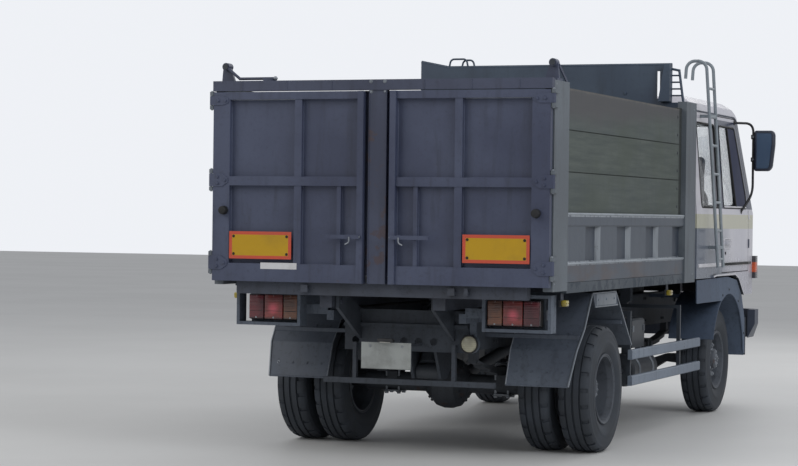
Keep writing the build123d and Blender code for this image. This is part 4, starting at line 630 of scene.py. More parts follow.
def makePiece(mesh, name, materials, body, sharp=32, weld=True):  # an object that rides on a body
    if weld:
        bmesh.ops.remove_doubles(mesh, verts=mesh.verts, dist=0.00002)
        bmesh.ops.recalc_face_normals(mesh, faces=mesh.faces)
    for face in mesh.faces:
        face.smooth = True
    data = bpy.data.meshes.new(name)
    mesh.to_mesh(data)
    mesh.free()
    data.set_sharp_from_angle(angle=radians(sharp))
    made = bpy.data.objects.new(name, data)
    bpy.context.scene.collection.objects.link(made)
    for paintName in materials:
        data.materials.append(paints[paintName])
    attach(made, body)
    return made


def facesOf(verts):
    return list({face for vert in verts for face in vert.link_faces})


def edgesOf(verts):
    return list({edge for vert in verts for edge in vert.link_edges})


def paintFaces(verts, material):
    for face in facesOf(verts):
        face.material_index = material


def roundEdges(mesh, edges, offset, segments=2):
    bmesh.ops.bevel(
        mesh, geom=edges, offset=offset, segments=segments, profile=0.5, affect="EDGES", material=-1,
    )


def addBlock(mesh, low, high, bevel=0.0, material=0):  # between two corners, in any order
    size = high - low
    matrix = Matrix.Translation((low + high) / 2) @ Matrix.Diagonal((abs(size.x), abs(size.y), abs(size.z), 1))
    made = bmesh.ops.create_cube(mesh, size=1.0, matrix=matrix)["verts"]
    paintFaces(made, material)
    if bevel:
        roundEdges(mesh, edgesOf(made), bevel)


def addCone(mesh, centre, turn, wide, top, tall, sides, material):
    made = bmesh.ops.create_cone(
        mesh, cap_ends=True, segments=sides, radius1=wide, radius2=top, depth=tall,
        matrix=Matrix.Translation(centre) @ turn,
    )["verts"]
    paintFaces(made, material)
    return made


def facing(direction):
    return Vector(direction).to_track_quat("Z", "Y").to_matrix().to_4x4()


def addBolt(mesh, centre, axis, radius, height, sides=6, material=0):
    # a head on a washer, standing out along the axis
    turn = facing(axis)
    out = turn @ upward
    washer, head = height * 0.25, height * 0.75
    for wide, tall, start, count in ((radius * 1.5, washer, 0.0, 14), (radius, head, washer, sides)):
        addCone(mesh, centre + out * (start + tall / 2), turn, wide, wide * 0.92, tall, count, material)


def addRod(mesh, start, stop, radius, sides=12, material=0):
    turn, length = facing(stop - start), (stop - start).length
    addCone(mesh, (start + stop) / 2, turn, radius, radius, length, sides, material)


def addDome(mesh, centre, radii, material=0, around=20, rings=10):  # closed button with three radii
    matrix = Matrix.Translation(centre) @ Matrix.Diagonal((*radii, 1))
    made = bmesh.ops.create_uvsphere(mesh, u_segments=around, v_segments=rings, radius=1, matrix=matrix)
    paintFaces(made["verts"], material)


def addPlate(mesh, outline, axis, thick, bevel=0.0, segments=2, material=0):
    # a flat outline drawn out along the axis
    verts = [mesh.verts.new(point) for point in outline]
    drawn = bmesh.ops.extrude_face_region(mesh, geom=[mesh.faces.new(verts)])
    fresh = [item for item in drawn["geom"] if isinstance(item, bmesh.types.BMVert)]
    bmesh.ops.translate(mesh, verts=fresh, vec=Vector(axis) * thick)
    body = verts + fresh
    bmesh.ops.recalc_face_normals(mesh, faces=facesOf(body))
    paintFaces(body, material)
    if bevel:
        roundEdges(mesh, edgesOf(body), bevel, segments)


def addPath(mesh, run, radius, closed=False, material=0, fine=2):  # round bar, bead or rubber along a run
    curve = bpy.data.curves.new("run", "CURVE")
    curve.dimensions = "3D"
    curve.bevel_depth = radius
    curve.bevel_resolution = fine
    curve.use_fill_caps = not closed
    spline = curve.splines.new("POLY")
    spline.points.add(len(run) - 1)
    for point, spot in zip(spline.points, run):
        point.co = (*spot, 1.0)
    spline.use_cyclic_u = closed
    holder = bpy.data.objects.new("run", curve)
    drawn = bpy.data.meshes.new_from_object(holder)
    before = len(mesh.faces)
    mesh.from_mesh(drawn)
    mesh.faces.ensure_lookup_table()
    for face in mesh.faces[before:]:
        face.material_index = material
    bpy.data.objects.remove(holder)
    bpy.data.curves.remove(curve)
    bpy.data.meshes.remove(drawn)


def sink(mesh, faces, *steps):  # insets the faces by each (thickness, depth) in turn
    for thickness, depth in steps:
        bmesh.ops.inset_region(mesh, faces=faces, thickness=thickness, depth=depth)


# tyres

axleZ, axleY = 0.404, dict(front=4.692, rear=1.272)
tyre = dict(
    half=0.111, steps=96, slotEvery=4, slotDepth=0.009, slotFrom=0.386, slotBand=(0.053, 0.098),
    halfProfile=[
        (0.083, 0.214), (0.084, 0.226), (0.094, 0.243), (0.1035, 0.262), (0.1095, 0.284), (0.111, 0.294),
        (0.1112, 0.3), (0.1095, 0.303), (0.109, 0.318), (0.1062, 0.342), (0.1016, 0.364), (0.1025, 0.368),
        (0.096, 0.386), (0.089, 0.3945), (0.066, 0.4025), (0.052, 0.4035), (0.0495, 0.393), (0.0425, 0.393),
        (0.04, 0.4038), (0.008, 0.404), (0.005, 0.393),
    ],
    lining=[(0.060, 0.214), (0.071, 0.286), (0.066, 0.362)],
    wheels={
        "front_tyre_left": "left_front_wheel", "front_tyre_right": "right_front_wheel",
        "rear_tyres_left": "left_rear_wheels", "rear_tyres_right": "right_rear_wheels",
    },
)


def mirrored(profile):
    return [(-x, r) for x, r in profile]


def isSlot(face):  # every fourth block of each shoulder, staggered from side to side
    middle = face.calc_center_median()
    index = int(((atan2(middle.y, middle.z) / (2 * pi)) % 1.0) * tyre["steps"])
    if middle.x <= 0:
        index += tyre["slotEvery"] // 2
    low, high = tyre["slotBand"]
    onShoulder = hypot(middle.y, middle.z) > tyre["slotFrom"] and low < abs(middle.x) < high
    return onShoulder and index % tyre["slotEvery"] == 0


def addTyre(mesh, centre):
    outline = tyre["halfProfile"] + mirrored(reversed(tyre["halfProfile"]))
    outline += mirrored(tyre["lining"]) + tyre["lining"][::-1]
    verts = [mesh.verts.new((x, 0.0, r)) for x, r in outline]
    edges = [mesh.edges.new(pair) for pair in zip(verts, verts[1:] + verts[:1])]
    older = set(mesh.verts) - set(verts)
    bmesh.ops.spin(
        mesh, geom=verts + edges, cent=(0, 0, 0), axis=(1, 0, 0), angle=2 * pi, steps=tyre["steps"],
        use_merge=True, use_duplicate=False,
    )
    fresh = [vert for vert in mesh.verts if vert not in older]
    slots = [face for face in facesOf(fresh) if isSlot(face)]
    pushed = bmesh.ops.extrude_face_region(mesh, geom=slots)
    deep = [item for item in pushed["geom"] if isinstance(item, bmesh.types.BMVert)]
    for vert in deep:
        share = 1 - tyre["slotDepth"] / hypot(vert.co.y, vert.co.z)
        vert.co.y *= share
        vert.co.z *= share
    bmesh.ops.delete(mesh, geom=[face for face in slots if face.is_valid], context="FACES_ONLY")
    bmesh.ops.translate(mesh, verts=[vert for vert in fresh + deep if vert.is_valid], vec=centre)


for nodeName, body in tyre["wheels"].items():
    low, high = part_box(nodeName)
    centre = (low + high) / 2
    mesh = bmesh.new()
    if nodeName.startswith("rear"):
        for x in (low.x + tyre["half"], high.x - tyre["half"]):
            addTyre(mesh, Vector((x, centre.y, centre.z)))
    else:
        addTyre(mesh, centre)
    treads = makePiece(mesh, nodeName.replace("tyre", "tread"), ["tyreRubber"], body)
    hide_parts(nodeName)
print("tyres done")


# reflectors, buffers and the blank label on the gate

gateSign = dict(
    inner=0.556, outer=0.974, foot=1.218, head=1.386, face=-0.045, back=-0.041, rim=(0.006, 0.0),
    border=(0.022, -0.0006), screwInset=0.03, screw=(0.006, 0.004, 8), pads=((0.590, 0.610), (0.920, 0.940)),
    padFront=-0.003, padFoot=1.29, padHead=1.31,
)
buffer = dict(spot=(1.013, -0.0585, 1.515), radius=0.028, tip=0.86, length=0.039, round=0.005)
label = dict(low=(-0.763, -0.0396, 1.157), high=(-0.520, -0.0388, 1.196))
for side in both:
    mesh = bmesh.new()
    addBlock(
        mesh, sided(side, gateSign["inner"], gateSign["face"], gateSign["foot"]),
        sided(side, gateSign["outer"], gateSign["back"], gateSign["head"]),
    )
    rear = [face for face in mesh.faces if face.normal.y < -0.9]
    sink(mesh, rear, gateSign["rim"], gateSign["border"])
    paintFaces(mesh.verts, 1)
    rear[0].material_index = 0
    inset = gateSign["screwInset"]
    for x in (gateSign["inner"] + inset, gateSign["outer"] - inset):
        for z in (gateSign["foot"] + inset, gateSign["head"] - inset):
            addBolt(mesh, sided(side, x, gateSign["face"], z), backward, *gateSign["screw"], 2)
    for inner, outer in gateSign["pads"]:
        addBlock(
            mesh, sided(side, inner, gateSign["back"], gateSign["padFoot"]),
            sided(side, outer, gateSign["padFront"], gateSign["padHead"]), 0, 2,
        )
    pad = addCone(
        mesh, sided(side, *buffer["spot"]), Matrix.Rotation(pi / 2, 4, "X"), buffer["radius"],
        buffer["radius"] * buffer["tip"], buffer["length"], 28, 2,
    )
    rims = [edge for edge in edgesOf(pad) if len(edge.link_faces) == 2 and edge.calc_face_angle(0) > 0.8]
    roundEdges(mesh, rims, buffer["round"], 3)
    colours = ["reflectorYellow", "reflectorOrange", "sealRubber"]
    signs = makePiece(mesh, "gateSigns_" + sideName[side], colours, sideName[side] + "_gate")
    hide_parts("gate_plates_" + sideName[side])
mesh = bmesh.new()
addBlock(mesh, place(*label["low"]), place(*label["high"]))
makePiece(mesh, "blankLabel", ["blankWhite"], "left_gate")
print("gate signs done")


# gate fittings: strap bolts, weld beads round the sunk fields, latch levers

strap = dict(
    spans=((1.150, 1.234), (1.662, 1.742), (2.164, 2.220)), tall=0.06, inset=0.02, y=-0.044, innerX=1.010,
    outerX=1.060, bolt=(0.009, 0.008, 6), pinX=1.108, pinY=-0.030, pinGap=0.026, pinHead=(0.007, 0.006, 16),
)
leafBead = dict(
    fields=((0.545, 0.980, 1.724, 2.197), (0.124, 0.497, 1.724, 2.197), (0.545, 0.980, 1.190, 1.669),
            (0.262, 0.497, 1.190, 1.669), (0.124, 0.236, 1.190, 1.669)),
    radius=0.0042, y=-0.0045,
)
latch = dict(
    z=1.362, feet=(0.121, 0.251), footReach=0.018, footY=-0.066, bolt=(0.006, 0.006), leverY=-0.078,
    lever=((0.160, 0.0), (0.160, -0.034), (0.186, -0.046)), bend=0.015, radius=0.0045,
)
for side in both:
    mesh = bmesh.new()
    for foot, head in strap["spans"]:
        middle = (foot + head) / 2
        rows = (foot + strap["inset"], head - strap["inset"]) if head - foot > strap["tall"] else (middle,)
        for x, z in [(strap["outerX"], row) for row in rows] + [(strap["innerX"], middle)]:
            addBolt(mesh, sided(side, x, strap["y"], z), backward, *strap["bolt"], 1)
    for inner, outer, foot, head in leafBead["fields"]:
        corners = ((inner, foot), (outer, foot), (outer, head), (inner, head))
        addPath(mesh, [sided(side, x, leafBead["y"], z) for x, z in corners], leafBead["radius"], True, 1, 1)
    for x in latch["feet"]:
        for reach in (-latch["footReach"], latch["footReach"]):
            addBolt(mesh, sided(side, x + reach, latch["footY"], latch["z"]), backward, *latch["bolt"])
    lever = [sided(side, x, latch["leverY"], latch["z"] + drop) for x, drop in latch["lever"]]
    addPath(mesh, softened(lever, latch["bend"]), latch["radius"])
    makePiece(mesh, "gateFittings_" + sideName[side], ["edgeWear", "gatePaint"], sideName[side] + "_gate")
print("gate fittings done")


# load body: hinge pin heads, board bolts, ear pins, post bolts, header welds, weld beads, stop strips

boardBolt = dict(x=1.0805, rows=(0.345, 2.940), shares=(0.25, 0.75), radii=(0.004, 0.011, 0.011))
earPin = dict(x=1.066, z=2.408, ends=((0.066, -0.004), (0.134, 0.004)), radius=0.017)
postBolt = dict(
    heights=(1.1, 1.7, 2.28), front=(1.1005, 3.30), frontHead=(0.009, 0.006),
    rear=(1.0955, 0.05), rearHead=(0.007, 0.005),
)
header = dict(
    knob=(-0.728, 0.076, 2.332), knobRadius=0.014, seams=(-0.9, -0.6, -0.3, 0.3, 0.6, 0.9), seamY=-0.0355,
    seamFoot=2.252, seamHead=2.309, seamRadius=0.003, bolts=((-0.035, 2.30), (-0.028, 2.24)), boltX=0.045,
    bolt=(0.008, 0.006), postX=0.056, postY=-0.029, postFoot=1.085, postHead=2.24, postRadius=0.0035,
)
mesh = bmesh.new()
for side in both:
    for foot, head in strap["spans"]:
        for z, out in ((foot - strap["pinGap"], -upward), (head + strap["pinGap"], upward)):
            addBolt(mesh, sided(side, strap["pinX"], strap["pinY"], z), out, *strap["pinHead"])
    for board in range(3):
        for y in boardBolt["rows"]:
            for share in boardBolt["shares"]:
                z = planks["foot"] + (board + share) * planks["pitch"]
                addDome(mesh, sided(side, boardBolt["x"], y, z), boardBolt["radii"], 3, 12, 6)
    for y, out in earPin["ends"]:
        start, stop = (sided(side, earPin["x"], spot, earPin["z"]) for spot in (y, y + out))
        addRod(mesh, start, stop, earPin["radius"], 18, 3)
    for z in postBolt["heights"]:
        addBolt(mesh, sided(side, *postBolt["front"], z), across * side, *postBolt["frontHead"])
        addBolt(mesh, sided(side, *postBolt["rear"], z), across * side, *postBolt["rearHead"])
addDome(mesh, place(*header["knob"]), [header["knobRadius"]] * 3, 0, 16, 10)
for x in header["seams"]:
    seam = [place(x, header["seamY"], z) for z in (header["seamFoot"], header["seamHead"])]
    addPath(mesh, seam, header["seamRadius"], False, 2, 1)
for y, z in header["bolts"]:
    for side in both:
        addBolt(mesh, sided(side, header["boltX"], y, z), backward, *header["bolt"])
for side in both:
    seam = [sided(side, header["postX"], header["postY"], z) for z in (header["postFoot"], header["postHead"])]
    addPath(mesh, seam, header["postRadius"], False, 2, 1)
makePiece(mesh, "bodyFittings", ["edgeWear", "brightSteel", "headerPaint", "castIron"], "load_body")

sideBead = dict(
    rails=((1.516, 0.008), (1.216, 0.007)), railX=1.0925, railRun=(0.308, 3.086),
    sheets=(1.218, 1.439), sheetX=1.0575, sheetRun=(0.31, 3.085), sheetRadius=0.004,
)
mesh = bmesh.new()
for side in both:
    for z, radius in sideBead["rails"]:
        addPath(mesh, [sided(side, sideBead["railX"], y, z) for y in sideBead["railRun"]], radius)
    for z in sideBead["sheets"]:
        run = [sided(side, sideBead["sheetX"], y, z) for y in sideBead["sheetRun"]]
        addPath(mesh, run, sideBead["sheetRadius"], False, 1, 1)
makePiece(mesh, "sideEdges", ["beadPaint", "panelPaint"], "load_body")

frontWall = dict(
    top=((-0.963, 2.646), (-0.743, 2.602), (0.963, 2.602)), topY=3.211, topRadius=0.0125,
    boltX=(-0.62, 0.0, 0.62), boltY=3.199, boltZ=(1.4, 1.9, 2.4), bolt=(0.010, 0.007),
)
mesh = bmesh.new()
top = [place(x, frontWall["topY"], z) for x, z in frontWall["top"]]
addPath(mesh, top, frontWall["topRadius"], False, 0, 3)
for x in frontWall["boltX"]:
    for z in frontWall["boltZ"]:
        addBolt(mesh, place(x, frontWall["boltY"], z), backward, *frontWall["bolt"])
makePiece(mesh, "headboardEdges", ["headboardPaint"], "load_body")

# stop strips on the centre post, behind the inner edges of the leaves
gateStop = dict(
    inner=0.034, outer=0.102, weld=0.050, weldBack=0.0075, weldFront=0.0115, face=0.0105, front=0.0148,
    foot=1.128, head=2.246,
)
mesh = bmesh.new()
for side in both:
    addBlock(
        mesh, sided(side, gateStop["inner"], gateStop["face"], gateStop["foot"]),
        sided(side, gateStop["outer"], gateStop["front"], gateStop["head"]), 0.001,
    )
    addBlock(
        mesh, sided(side, gateStop["inner"], gateStop["weldBack"], gateStop["foot"]),
        sided(side, gateStop["weld"], gateStop["weldFront"], gateStop["head"]),
    )
makePiece(mesh, "gateStops", ["headerPaint"], "load_body")
print("body fittings done")


# rear lamps in their frames, the round lamp, marker lamps and the plate

rearLamp = dict(
    cells=((0.624, 0.722, 1), (0.724, 0.852, 2), (0.854, 0.958, 3)), inner=0.624, outer=0.958, back=0.292,
    base=0.250, overlap=0.004, face=0.214, foot=0.834, head=0.996, gapX=0.002, gapZ=0.003, boxRound=0.003,
    cellRound=0.007, screwInset=0.014, screw=(0.004, 0.003, 12), ribs=(0.888, 0.942), ribInset=0.008,
    ribRadius=0.0025,
)
mesh = bmesh.new()
for side in both:
    addBlock(
        mesh, sided(side, rearLamp["inner"], rearLamp["base"] - rearLamp["overlap"], rearLamp["foot"]),
        sided(side, rearLamp["outer"], rearLamp["back"], rearLamp["head"]), rearLamp["boxRound"],
    )
    for inner, outer, glassIndex in rearLamp["cells"]:
        inner, outer = inner + rearLamp["gapX"], outer - rearLamp["gapX"]
        addBlock(
            mesh, sided(side, inner, rearLamp["face"], rearLamp["foot"] + rearLamp["gapZ"]),
            sided(side, outer, rearLamp["base"], rearLamp["head"] - rearLamp["gapZ"]),
            rearLamp["cellRound"], glassIndex,
        )
        for z in (rearLamp["foot"] + rearLamp["screwInset"], rearLamp["head"] - rearLamp["screwInset"]):
            spot = sided(side, (inner + outer) / 2, rearLamp["face"] + 0.0005, z)
            addBolt(mesh, spot, backward, *rearLamp["screw"], 4)
        ends = sorted(side * x for x in (inner + rearLamp["ribInset"], outer - rearLamp["ribInset"]))
        for z in rearLamp["ribs"]:
            rib = [place(x, rearLamp["face"] + 0.001, z) for x in ends]
            addPath(mesh, rib, rearLamp["ribRadius"], False, glassIndex)
colours = ["blackPlastic", "lensBrown", "lensMiddle", "lensRed", "brightSteel"]
units = makePiece(mesh, "rearLampUnits", colours, "chassis")
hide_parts("rear_lamps")

roundLamp = dict(
    spot=(0.433, 0.439, 0.708), radii=(0.051, 0.014, 0.051), rimSpot=(0.433, 0.438, 0.708), rim=0.054,
    rimRadius=0.006,
)
mesh = bmesh.new()
rim = ring(place(*roundLamp["rimSpot"]), roundLamp["rim"], 48, across, upward)
addPath(mesh, rim, roundLamp["rimRadius"], True, 1, 3)
addDome(mesh, place(*roundLamp["spot"]), roundLamp["radii"], 0, 32, 14)
makePiece(mesh, "roundLampLens", ["lensCream", "blackPlastic"], "chassis")

markerLamp = dict(
    rows=((0.285, 0.360), (2.728, 2.803)), inner=1.050, split=1.066, outer=1.098, foot=0.958, head=1.000,
    baseRound=0.003, lensInset=0.003, lensDrop=0.002, lensRound=0.008, hanger=(1.060, 1.064), hangInset=0.012,
    hang=1.040, screwX=1.0974, screwInset=0.014, screwZ=0.979, screw=(0.0035, 0.002, 10),
)
mesh = bmesh.new()
for side in both:
    for start, stop in markerLamp["rows"]:
        addBlock(
            mesh, sided(side, markerLamp["inner"], start, markerLamp["foot"]),
            sided(side, markerLamp["split"], stop, markerLamp["head"]), markerLamp["baseRound"], 1,
        )
        inset, drop = markerLamp["lensInset"], markerLamp["lensDrop"]
        addBlock(
            mesh, sided(side, markerLamp["split"], start + inset, markerLamp["foot"] + drop),
            sided(side, markerLamp["outer"], stop - inset, markerLamp["head"] - drop), markerLamp["lensRound"],
        )
        near, far = markerLamp["hanger"]
        inset = markerLamp["hangInset"]
        addBlock(
            mesh, sided(side, near, start + inset, markerLamp["head"] - drop),
            sided(side, far, stop - inset, markerLamp["hang"]), 0.0, 2,
        )
        for y in (start + markerLamp["screwInset"], stop - markerLamp["screwInset"]):
            spot = sided(side, markerLamp["screwX"], y, markerLamp["screwZ"])
            addBolt(mesh, spot, across * side, *markerLamp["screw"], 1)
units = makePiece(mesh, "markerLampUnits", ["lensAmber", "blackPlastic", "lipPaint"], "load_body")
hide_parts("marker_lamps")

plate = dict(
    half=0.163, foot=0.558, head=0.719, face=0.1483, back=0.150, rim=(0.005, 0.0), edge=(0.002, -0.0006),
    boltX=0.105, boltZ=0.697, bolt=(0.006, 0.004, 6), light=((-0.05, 0.120, 0.724), (0.05, 0.160, 0.744)),
    lightRound=0.004, lightLens=((-0.035, 0.124, 0.719), (0.035, 0.150, 0.725)), lensRound=0.002,
)
mesh = bmesh.new()
addBlock(
    mesh, place(-plate["half"], plate["face"], plate["foot"]),
    place(plate["half"], plate["back"], plate["head"]),
)
rear = [face for face in mesh.faces if face.normal.y < -0.9]
sink(mesh, rear, plate["rim"], plate["edge"])
for side in both:
    addBolt(mesh, sided(side, plate["boltX"], plate["face"], plate["boltZ"]), backward, *plate["bolt"], 1)
addBlock(mesh, *(place(*corner) for corner in plate["light"]), plate["lightRound"], 2)
addBlock(mesh, *(place(*corner) for corner in plate["lightLens"]), plate["lensRound"], 3)
makePiece(mesh, "plainPlate", ["plateGrey", "brightSteel", "blackPlastic", "lensClear"], "chassis")
print("rear lamps done")


# wheels: hex nuts, studs, hub bolts, rim rings and valves

wheel = dict(
    nutCircle=0.111, nuts=6, nut=(0.0215, 0.028), stud=0.038, studRadius=0.010, ringCircle=0.2195,
    ringRadius=0.0055, rimHalf=0.092, hubBolts=8, hubTurn=0.2, hubBolt=(0.006, 0.006),
    capRadii=(0.008, 0.02, 0.02), valveCircle=0.165, valve=0.045, valveRadius=0.005,
)
wheelKinds = dict(
    front=dict(nutX=0.897, rims=(0.863,), capX=0.955, hubCircle=0.036, valveX=0.893, body="_front_wheel"),
    rear=dict(nutX=0.846, rims=(0.701, 0.963), capX=0.994, hubCircle=0.048, valveX=0.902,
              body="_rear_wheels"),
)
for side in both:
    for kind, look in wheelKinds.items():
        mesh = bmesh.new()
        out, y = across * side, axleY[kind]
        nuts = ring(sided(side, look["nutX"], y, axleZ), wheel["nutCircle"], wheel["nuts"], upward, along)
        for spot in nuts:
            addBolt(mesh, spot, out, *wheel["nut"])
            addRod(mesh, spot, spot + out * wheel["stud"], wheel["studRadius"], 14)
        for middle in look["rims"]:
            for x in (middle - wheel["rimHalf"], middle + wheel["rimHalf"]):
                rim = ring(sided(side, x, y, axleZ), wheel["ringCircle"], 64, upward, along)
                addPath(mesh, rim, wheel["ringRadius"], True, 1)
        cap = sided(side, look["capX"], y, axleZ)
        hubBolts = ring(cap, look["hubCircle"], wheel["hubBolts"], upward, along, wheel["hubTurn"])
        for spot in hubBolts:
            addBolt(mesh, spot, out, *wheel["hubBolt"])
        addDome(mesh, cap, wheel["capRadii"], 1, 20, 8)
        stem = sided(side, look["valveX"], y + wheel["valveCircle"], axleZ)
        addRod(mesh, stem, stem + out * wheel["valve"] - along * 0.01, wheel["valveRadius"], 10)
        name, body = kind + "WheelNuts_" + sideName[side], sideName[side] + look["body"]
        makePiece(mesh, name, ["edgeWear", "rimPaint"], body)
print("wheels done")


# mirrors: bent arm, rounded shell, glass facing back and two clamps

mirror = dict(
    arm=((0.990, 5.040, 2.262), (1.116, 5.180, 2.262), (1.116, 5.180, 1.700), (1.046, 5.080, 1.560)),
    armRadius=0.010, bend=(0.075, 7),
    shell=((1.129, 1.883), (1.129, 2.206), (1.272, 2.206), (1.292, 2.180), (1.292, 2.090), (1.272, 1.910),
           (1.246, 1.883)), back=5.150, deep=0.062, shellRound=(0.015, 3), rim=(0.005, 0.0),
    glass=(0.003, -0.004), clampZ=(1.975, 2.155), clamp=((1.100, 5.164, -0.018), (1.140, 5.198, 0.018)),
    clampRound=0.004, boltX=1.116, boltY=5.164, bolt=(0.006, 0.006, 6), foot=(-0.012, 0.006),
    footRadius=0.019,
)
for side in both:
    mesh = bmesh.new()
    arm = [sided(side, *point) for point in mirror["arm"]]
    addPath(mesh, softened(arm, *mirror["bend"]), mirror["armRadius"], False, 1, 3)
    shell = [sided(side, x, mirror["back"], z) for x, z in mirror["shell"]]
    addPlate(mesh, shell, along, mirror["deep"], *mirror["shellRound"])
    backs = [face for face in mesh.faces if face.normal.y < -0.98 and face.calc_area() > 0.02]
    sink(mesh, backs, mirror["rim"], mirror["glass"])
    for face in backs:
        face.material_index = 2
    for z in mirror["clampZ"]:
        low, high = (sided(side, x, y, z + rise) for x, y, rise in mirror["clamp"])
        addBlock(mesh, low, high, mirror["clampRound"], 1)
        addBolt(mesh, sided(side, mirror["boltX"], mirror["boltY"], z), backward, *mirror["bolt"], 3)
    for spot in (arm[0], arm[-1]):
        start, stop = (spot + across * side * reach for reach in mirror["foot"])
        addRod(mesh, start, stop, mirror["footRadius"], 16, 1)
    colours = ["mirrorShell", "blackPlastic", "mirrorGlass", "brightSteel"]
    made = makePiece(mesh, "mirrorUnit_" + sideName[side], colours, sideName[side] + "_door")
    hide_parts("mirror_" + sideName[side])
print("mirrors done")


# cab outside: mouldings, drip rails, window rubbers, wipers, hinges and the rim of the grille

cabWall = dict(half=1.050, belt=1.53, lean=0.062, top=2.300)
moulding = dict(foot=1.138, head=1.164, back=-0.002, front=0.009, round=0.002)
paneRubber = dict(radius=0.009, out=-0.004)


def cabSide(side, y, z, out=0.0):  # a point on the cab's side, which leans in above the belt
    rise = max(0.0, z - cabWall["belt"]) / (cabWall["top"] - cabWall["belt"])
    return sided(side, cabWall["half"] - cabWall["lean"] * rise + out, y, z)


def sideRun(side, points, out):
    return [cabSide(side, y, z, out) for y, z in points]


def addMoulding(mesh, side, start, stop):
    low = cabSide(side, start, moulding["foot"], moulding["back"])
    high = cabSide(side, stop, moulding["head"], moulding["front"])
    addBlock(mesh, low, high, moulding["round"])


cabTrim = dict(
    mouldings=((3.70, 4.430), (5.342, 5.405)),
    quarter=((3.820, 1.585), (3.800, 1.610), (3.800, 2.190), (3.820, 2.215), (4.340, 2.215), (4.360, 2.190),
             (4.360, 1.610), (4.340, 1.585)), quarterBend=(0.02, 3),
    drip=((3.70, 2.302), (5.03, 2.302), (5.10, 2.272)), dripOut=0.003, dripBend=0.04, dripRadius=0.007,
    rearPane=((-0.48, 3.651, 1.64), (0.48, 3.651, 1.64), (0.48, 3.651, 2.18), (-0.48, 3.651, 2.18)),
    rearRadius=0.011,
    screenPane=((-0.905, 5.474, 1.60), (0.905, 5.474, 1.60), (0.905, 5.180, 2.27), (-0.905, 5.180, 2.27)),
    screenRadius=0.012, paneBend=(0.05, 5), hingeY=5.336, hingeZ=(1.27, 1.50), hingeTall=0.07,
    hingeRadius=0.010, grille=((-0.716, 0.964), (0.716, 0.964), (0.716, 1.326), (-0.716, 1.326)),
    grilleY=5.6275, grilleRadius=0.009,
)
wiper = dict(  # reaches from the wiper's foot
    feet=((-0.62, 5.505, 1.585), (0.05, 5.505, 1.585)), boss=(0, 0.02, 0.008), bossRadius=0.016,
    arm=((0, 0.014, 0.006), (0.52, -0.027, 0.055)), armRadius=0.005,
    blade=((0.16, -0.030, 0.043), (0.56, -0.033, 0.047)), bladeRadius=0.006,
)
mesh = bmesh.new()
for side in both:
    for start, stop in cabTrim["mouldings"]:
        addMoulding(mesh, side, start, stop)
    pane = softened(sideRun(side, cabTrim["quarter"], paneRubber["out"]), *cabTrim["quarterBend"], True)
    addPath(mesh, pane, paneRubber["radius"], True, 1)
    drip = sideRun(side, cabTrim["drip"], cabTrim["dripOut"])
    addPath(mesh, softened(drip, cabTrim["dripBend"]), cabTrim["dripRadius"], False, 2)
for kind in ("rear", "screen"):
    pane = softened([place(*point) for point in cabTrim[kind + "Pane"]], *cabTrim["paneBend"], True)
    addPath(mesh, pane, cabTrim[kind + "Radius"], True, 1)
for spot in wiper["feet"]:
    foot = place(*spot)
    addRod(mesh, foot, foot + Vector(wiper["boss"]), wiper["bossRadius"], 16, 1)
    addPath(mesh, [foot + Vector(reach) for reach in wiper["arm"]], wiper["armRadius"], False, 3)
    addPath(mesh, [foot + Vector(reach) for reach in wiper["blade"]], wiper["bladeRadius"], False, 1)
for side in both:
    for z in cabTrim["hingeZ"]:
        foot, head = (cabSide(side, cabTrim["hingeY"], end) for end in (z, z + cabTrim["hingeTall"]))
        addRod(mesh, foot, head, cabTrim["hingeRadius"], 14)
rim = [place(x, cabTrim["grilleY"], z) for x, z in cabTrim["grille"]]
addPath(mesh, rim, cabTrim["grilleRadius"], True, 2)
makePiece(mesh, "cabTrim", ["trimWhite", "sealRubber", "dripGrey", "blackPlastic"], "cab")


# doors: moulding, window rubbers, vent pane, handle cup and lock; the card inside with its rest and crank

doorTrim = dict(
    moulding=(4.447, 5.316),
    pane=((4.500, 1.585), (4.500, 2.215), (5.010, 2.215), (5.262, 1.690), (5.262, 1.585)),
    paneBend=(0.025, 4), bar=((4.78, 2.212), (4.93, 1.590)), barOut=-0.006, barRadius=0.010,
    vent=((4.79, 2.205), (4.935, 1.597), (5.250, 1.597), (5.250, 1.690), (5.004, 2.205)), ventOut=-0.003,
    ventThick=0.002, sill=((4.512, 1.592), (5.250, 1.592)), sillOut=-0.002, sillRadius=0.008,
    cup=((4.50, 1.270), (4.50, 1.345), (4.72, 1.345), (4.72, 1.270)), cupOut=0.001, cupBend=(0.02, 4),
    cupRadius=0.004, lock=(4.555, 1.235), barrel=(-0.002, 0.004), barrelRadius=0.012, keyhole=(0.004, 0.0055),
    keyholeRadius=0.004,
)
doorCard = dict(
    card=((0.992, 4.52, 1.16), (1.004, 5.24, 1.54)), cardRound=0.005,
    rest=((0.942, 4.60, 1.40), (0.992, 5.02, 1.44)), restRound=0.012,
    hub=((0.992, 5.08, 1.36), (0.962, 5.08, 1.36)), hubRadius=0.018,
    crank=((0.964, 5.08, 1.36), (0.962, 5.18, 1.33)), crankRadius=0.006, knob=(0.947, 5.18, 1.33),
    knobRadii=(0.018, 0.011, 0.011),
)
